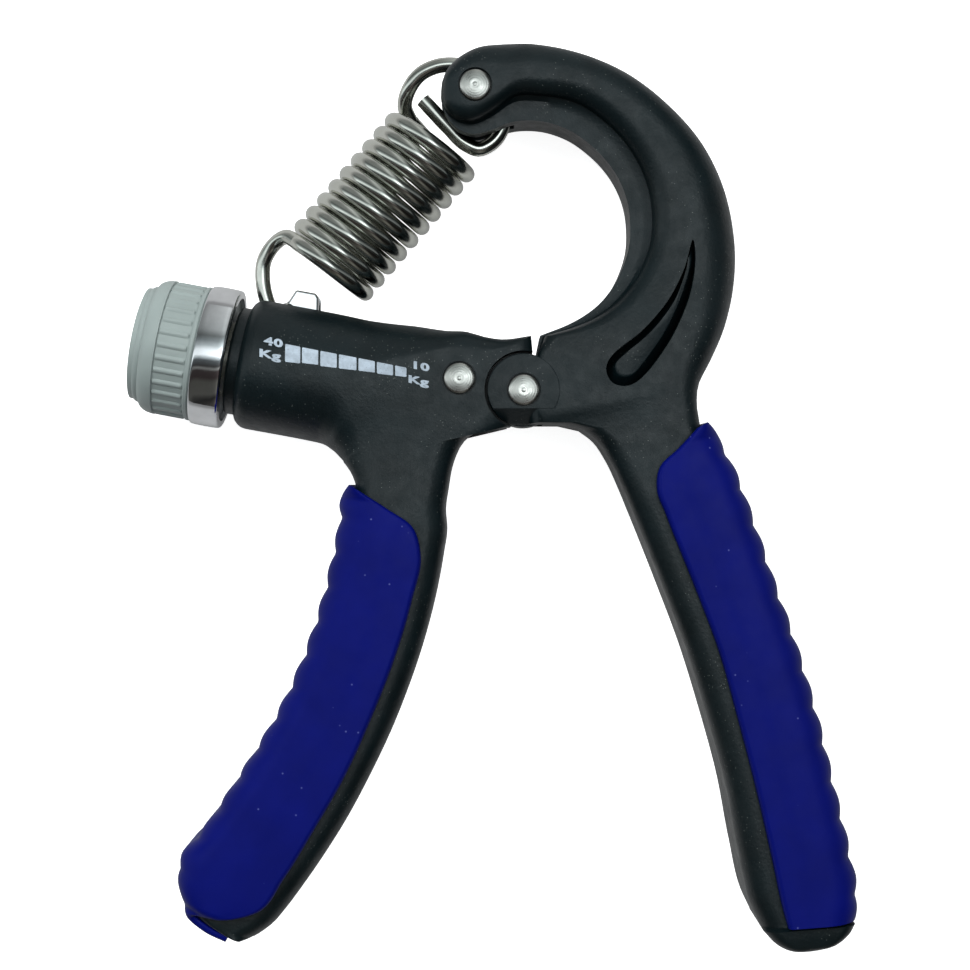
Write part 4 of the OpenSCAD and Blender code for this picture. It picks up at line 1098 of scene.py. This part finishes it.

# Spring: ten close turns of nickel-plated steel wire, with a hook on the slider's cross pin
# and an eye round the arm's pin that ends in a straight return across the coil.
# The turns and the lower hook are baked where they are built, on no body.
COIL_R = 6.75
COIL_PITCH = 2.6
COIL_TURNS = 10
COIL_START = 8.2
COIL_END = COIL_START + COIL_PITCH * COIL_TURNS
COIL_STEPS = 56
COIL_LEAVE = 40.0
JOIN_TURN = 2.4
WIRE_SIDES = 20
COIL_WIRE_R = 1.22
WIRE_CRISP = 60.0
HOOK_SWING = 4.0
HOOK_R = HOOK_SWING + 1.0 + WIRE_R + RUN_GAP
EYE_REACH = SPRING_LEN + RIVET_R + WIRE_R + 0.1
HOOK_STEP = 0.35
SPRING_SIDE = np.array([-SPRING_DIR[1], SPRING_DIR[0]])
spring_steel = plated("spring_steel", tint(212, 213, 205), 0.12, 0.20, 0.004, (900.0, 900.0, 900.0))


def spring_pt(s, n, z):
    """A point from its place along the spring, to its upper left side, and its height."""
    return np.array([*(HOOK_AT + s * SPRING_DIR + n * SPRING_SIDE), z])


def coil_pt(angle):
    """A point on the coil's middle line, at an angle in degrees from its start."""
    t = math.radians(angle)
    return (COIL_START + COIL_PITCH * angle / 360, COIL_R * math.cos(t), COIL_R * math.sin(t))


def bent_wire(name, points):
    """A round wire extruded along a smooth path, with its ends filled."""
    rows = smooth_rows([[p, (0.0, 0.0)] for p in points], HOOK_STEP)
    path = np.array([spring_pt(*row[0]) for row in rows])
    ways = np.gradient(path, axis=0)
    ways /= np.linalg.norm(ways, axis=1)[:, None]
    across = np.cross(ways[0], (0.3, -0.25, 1.0))
    rings = []
    for point, way in zip(path, ways):
        across = across - way * across.dot(way)
        across /= np.linalg.norm(across)
        third = np.cross(way, across)
        rings.append([
            point + WIRE_R * (across * math.cos(t) + third * math.sin(t))
            for t in np.linspace(0, 2 * math.pi, WIRE_SIDES, endpoint=False)])
    return piece_from(skin(rings), name, WIRE_CRISP)


def hook_bend(angle):
    """A point of the lower hook's round bend, which lies on the cross pin."""
    t = math.radians(angle)
    return (HOOK_SWING - HOOK_R * math.cos(t), HOOK_R * math.sin(t), 0.0)


lower_points = [
    coil_pt(COIL_LEAVE - JOIN_TURN), (COIL_START - 0.1, COIL_R + 0.6, 2.4), (6.2, 8.2, 0.9), (3.2, 7.8, 0.2),
    (0.8, 6.0, 0.0)]
lower_points += [hook_bend(angle) for angle in (35, 20, 5, -10, -25)]
lower_points += [(-0.4, -3.8, 0.0)]
upper_points = [
    coil_pt(360 * COIL_TURNS - COIL_LEAVE + JOIN_TURN), (COIL_END + 0.7, COIL_R + 0.5, -2.2),
    (SPRING_LEN - 5.8, 8.2, -0.8), (SPRING_LEN - 3.2, 8.3, -0.2), (SPRING_LEN - 0.5, 7.1, 0.0),
    (SPRING_LEN + 1.8, 4.5, 0.0), (EYE_REACH, 0.8, 0.0), (SPRING_LEN + 2.1, -2.6, 0.0),
    (SPRING_LEN + 0.4, -5.2, 0.0), (SPRING_LEN - 1.8, -6.5, 0.0), (SPRING_LEN - 4.2, -6.6, 0.1),
    (SPRING_LEN - 6.0, -5.7, 0.2), (SPRING_LEN - 6.6, -4.0, 0.3), (SPRING_LEN - 6.4, 0.0, 0.3),
    (SPRING_LEN - 5.8, 5.4, 0.3)]
coil_span = 360 * COIL_TURNS - 2 * COIL_LEAVE
coil_steps = round(COIL_STEPS * coil_span / 360)
coil_axis = Vector((*SPRING_DIR, 0.0))
coil_first = spring_pt(*coil_pt(COIL_LEAVE))
coil_way = Vector(spring_pt(*coil_pt(COIL_LEAVE + 1.0)) - coil_first).normalized()
coil_bm = bmesh.new()
bmesh.ops.create_circle(
    coil_bm, cap_ends=True, segments=WIRE_SIDES, radius=COIL_WIRE_R * MM,
    matrix=Matrix.Translation(place(coil_first)) @ coil_way.to_track_quat("Z", "Y").to_matrix().to_4x4())
coil_side = Vector((*SPRING_SIDE, 0.0))
coil_hand = 1.0 if coil_axis.cross(coil_side).z > 0 else -1.0
coil_geom = list(coil_bm.verts) + list(coil_bm.edges) + list(coil_bm.faces)
bmesh.ops.spin(
    coil_bm, geom=coil_geom, cent=place(spring_pt(0, 0, 0)),
    axis=coil_axis * coil_hand, dvec=coil_axis * (COIL_PITCH * coil_span / 360 * MM / coil_steps),
    angle=math.radians(coil_span), steps=coil_steps)
spring_coil = piece_from(coil_bm, "spring_turns", WIRE_CRISP)
lower_hook = bent_wire("spring_lower_end", lower_points)
upper_hook = bent_wire("spring_upper_end", upper_points)
fit(upper_hook, spring_steel, "spring_upper_hook", "spring_upper")
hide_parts("spring_coil")
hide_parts("spring_lower_hook")
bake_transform(spring_coil)
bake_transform(lower_hook)
for piece in (spring_coil, lower_hook):
    dress(piece, spring_steel)

# Scale print: seven bars and the two ends of the scale, pad-printed on the barrel's front in pale ink.
# The bars shrink from 40 kg at the knob to 10 kg at the hinge, and the ink is thin and a little worn.
INK_RISE = 0.03
INK_CELL = 0.35
INK_PASSES = 4
BAR_CORNER = 0.14
PRINT_Z = 12.0
LETTER_BOLD = 0.045
LETTER_SPACE = 1.12
LETTER_TOP = 0.7
# Bars as (left, right, top and bottom at the left, top and bottom at the right), in plan
bars = [
    ((-34.70, -32.50), (6.63, 4.01), (6.20, 3.77)), ((-32.25, -29.90), (6.14, 3.84), (5.68, 3.57)),
    ((-29.60, -27.20), (5.63, 3.40), (5.16, 3.12)), ((-26.90, -24.35), (5.12, 3.06), (4.63, 2.77)),
    ((-24.05, -21.68), (4.57, 2.73), (4.10, 2.46)), ((-21.38, -19.05), (4.02, 2.33), (3.57, 2.06)),
    ((-18.74, -17.10), (3.51, 2.03), (3.20, 1.84))]
# Words as (text, left, right, foot, height)
words = [("40", -37.85, -35.05, 6.62, 1.10), ("Kg", -38.42, -35.30, 4.82, 1.08),
         ("10", -16.05, -13.75, 3.12, 1.02), ("Kg", -16.80, -13.85, 1.10, 1.02)]
print_ink = moulded(
    "print_ink", (tint(176, 190, 203), 900.0, 0.72, 1.08), (tint(60, 66, 72), 2600.0, 2.0),
    (900.0, 0.42, 0.58), (1600.0, 0.01))
front_faces = BVHTree.FromObject(left_handle, bpy.context.evaluated_depsgraph_get())


def printed(bm, name):
    """Divides a flat print finely and lays it on the left handle's front."""
    bmesh.ops.triangulate(bm, faces=bm.faces)
    for _ in range(INK_PASSES):
        long_edges = [e for e in bm.edges if e.calc_length() > INK_CELL * MM]
        if not long_edges:
            break
        bmesh.ops.subdivide_edges(bm, edges=long_edges, cuts=1)
        bmesh.ops.triangulate(bm, faces=bm.faces)
    for vert in bm.verts:
        above = Vector((vert.co.x, vert.co.y, 0.05))
        hit, normal, _, _ = front_faces.ray_cast(above, Vector((0.0, 0.0, -1.0)))
        vert.co = hit + normal * INK_RISE * MM
    for face in bm.faces:
        face.smooth = True
    bmesh.ops.remove_doubles(bm, verts=bm.verts, dist=MERGE)
    piece = linked(bm, name)
    dress(piece, print_ink)
    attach(piece, "left_handle")


bar_bm = bmesh.new()
for (left, right), (left_top, left_foot), (right_top, right_foot) in bars:
    corners = [(left, left_foot), (right, right_foot), (right, right_top), (left, left_top)]
    bar_face = drawn_face(bar_bm, [(*c, PRINT_Z) for c in corners])
    bmesh.ops.bevel(
        bar_bm, geom=list(bar_face[0].verts), offset=BAR_CORNER * MM, segments=3, profile=0.5,
        affect="VERTICES", material=-1)
printed(bar_bm, "scale_bars")
for index, (text, left, right, foot, height) in enumerate(words):
    letters = bpy.data.curves.new("letters", "FONT")
    letters.body = text
    letters.size = 1.0
    letters.offset = LETTER_BOLD
    letters.space_character = LETTER_SPACE
    letters.resolution_u = 4
    shell = bpy.data.objects.new("letters", letters)
    scene.collection.objects.link(shell)
    bpy.context.view_layer.update()
    flat = bpy.data.meshes.new_from_object(shell.evaluated_get(bpy.context.evaluated_depsgraph_get()))
    bpy.data.objects.remove(shell)
    word_bm = bmesh.new()
    word_bm.from_mesh(flat)
    xs = [v.co.x for v in word_bm.verts]
    for vert in word_bm.verts:
        share = (vert.co.x - min(xs)) / (max(xs) - min(xs))
        x = left + share * (right - left)
        y = foot + vert.co.y / LETTER_TOP * height + (x - left) * math.tan(BARREL_TILT)
        vert.co = Vector(place((x, y, PRINT_Z)))
    printed(word_bm, "scale_word_%d" % index)

# Floor: a sheet of white paper under the grip, bright enough to fade into the background.
# It keeps a faint shadow round the grip, and sends back less light to the metal than to the eye. Round the
# grip it has a painted pool of light that only the grip's reflections and bounce light see.
FLOOR_HALF = 1.6
PAPER_NEAR = 0.11
PAPER_FAR = 0.20
PAPER_GLOW = 0.90
PAPER_FILL = 0.40
PAPER_SHINE = 0.16
# Share of white in the painted pool of light round the grip, seen by every ray but the camera's
PAPER_LIGHT_POOL = 0.3
PAPER_DARK = (0.12, 0.12, 0.12, 1.0)
PAPER_WHITE = (0.9, 0.9, 0.9, 1.0)
FLOOR_DROP = 0.0002
floor_bm = bmesh.new()
bmesh.ops.create_grid(floor_bm, x_segments=1, y_segments=1, size=FLOOR_HALF)
bmesh.ops.translate(floor_bm, verts=floor_bm.verts, vec=(0.0, 0.0, -FLOOR_DROP))
floor = piece_from(floor_bm, "floor")
paper, paper_tree, paper_shader = new_material("floor_paper")
paper_shader.inputs["Roughness"].default_value = 0.8
paper_shader.inputs["Emission Color"].default_value = (1.0, 1.0, 1.0, 1.0)
paper_ray = add(paper_tree, "ShaderNodeLightPath")
paper_spot = add(paper_tree, "ShaderNodeTexCoord")
paper_reach = add(paper_tree, "ShaderNodeVectorMath", operation="LENGTH")
# Painted pool of light: within PAPER_NEAR of the grip the paper is painted lighter for every ray but the
# camera's, and it fades out by PAPER_FAR
paper_light_pool = add(paper_tree, "ShaderNodeMapRange", **{
    "From Min": PAPER_NEAR, "From Max": PAPER_FAR, "To Min": PAPER_LIGHT_POOL, "To Max": 0.0})
paper_lit = add(paper_tree, "ShaderNodeMath", operation="MAXIMUM")
paper_tone = add(paper_tree, "ShaderNodeMix", data_type="RGBA")
paper_tone.inputs[6].default_value = PAPER_DARK
paper_tone.inputs[7].default_value = PAPER_WHITE
wire(paper_tree, paper_spot, "Object", paper_reach, 0)
wire(paper_tree, paper_reach, "Value", paper_light_pool, "Value")
wire(paper_tree, paper_ray, "Is Camera Ray", paper_lit, 0)
wire(paper_tree, paper_light_pool, "Result", paper_lit, 1)
wire(paper_tree, paper_lit, 0, paper_tone, 0)
wire(paper_tree, paper_tone, 2, paper_shader, "Base Color")
paper_sum = None
paper_rays = [("Is Camera Ray", PAPER_GLOW), ("Is Diffuse Ray", PAPER_FILL), ("Is Glossy Ray", PAPER_SHINE)]
for ray, glow in paper_rays:
    paper_part = add(paper_tree, "ShaderNodeMath", operation="MULTIPLY_ADD")
    paper_part.inputs[1].default_value = glow
    paper_part.inputs[2].default_value = 0.0
    wire(paper_tree, paper_ray, ray, paper_part, 0)
    if paper_sum:
        wire(paper_tree, paper_sum, 0, paper_part, 2)
    paper_sum = paper_part
wire(paper_tree, paper_sum, 0, paper_shader, "Emission Strength")
dress(floor, paper)

bpy.context.view_layer.update()
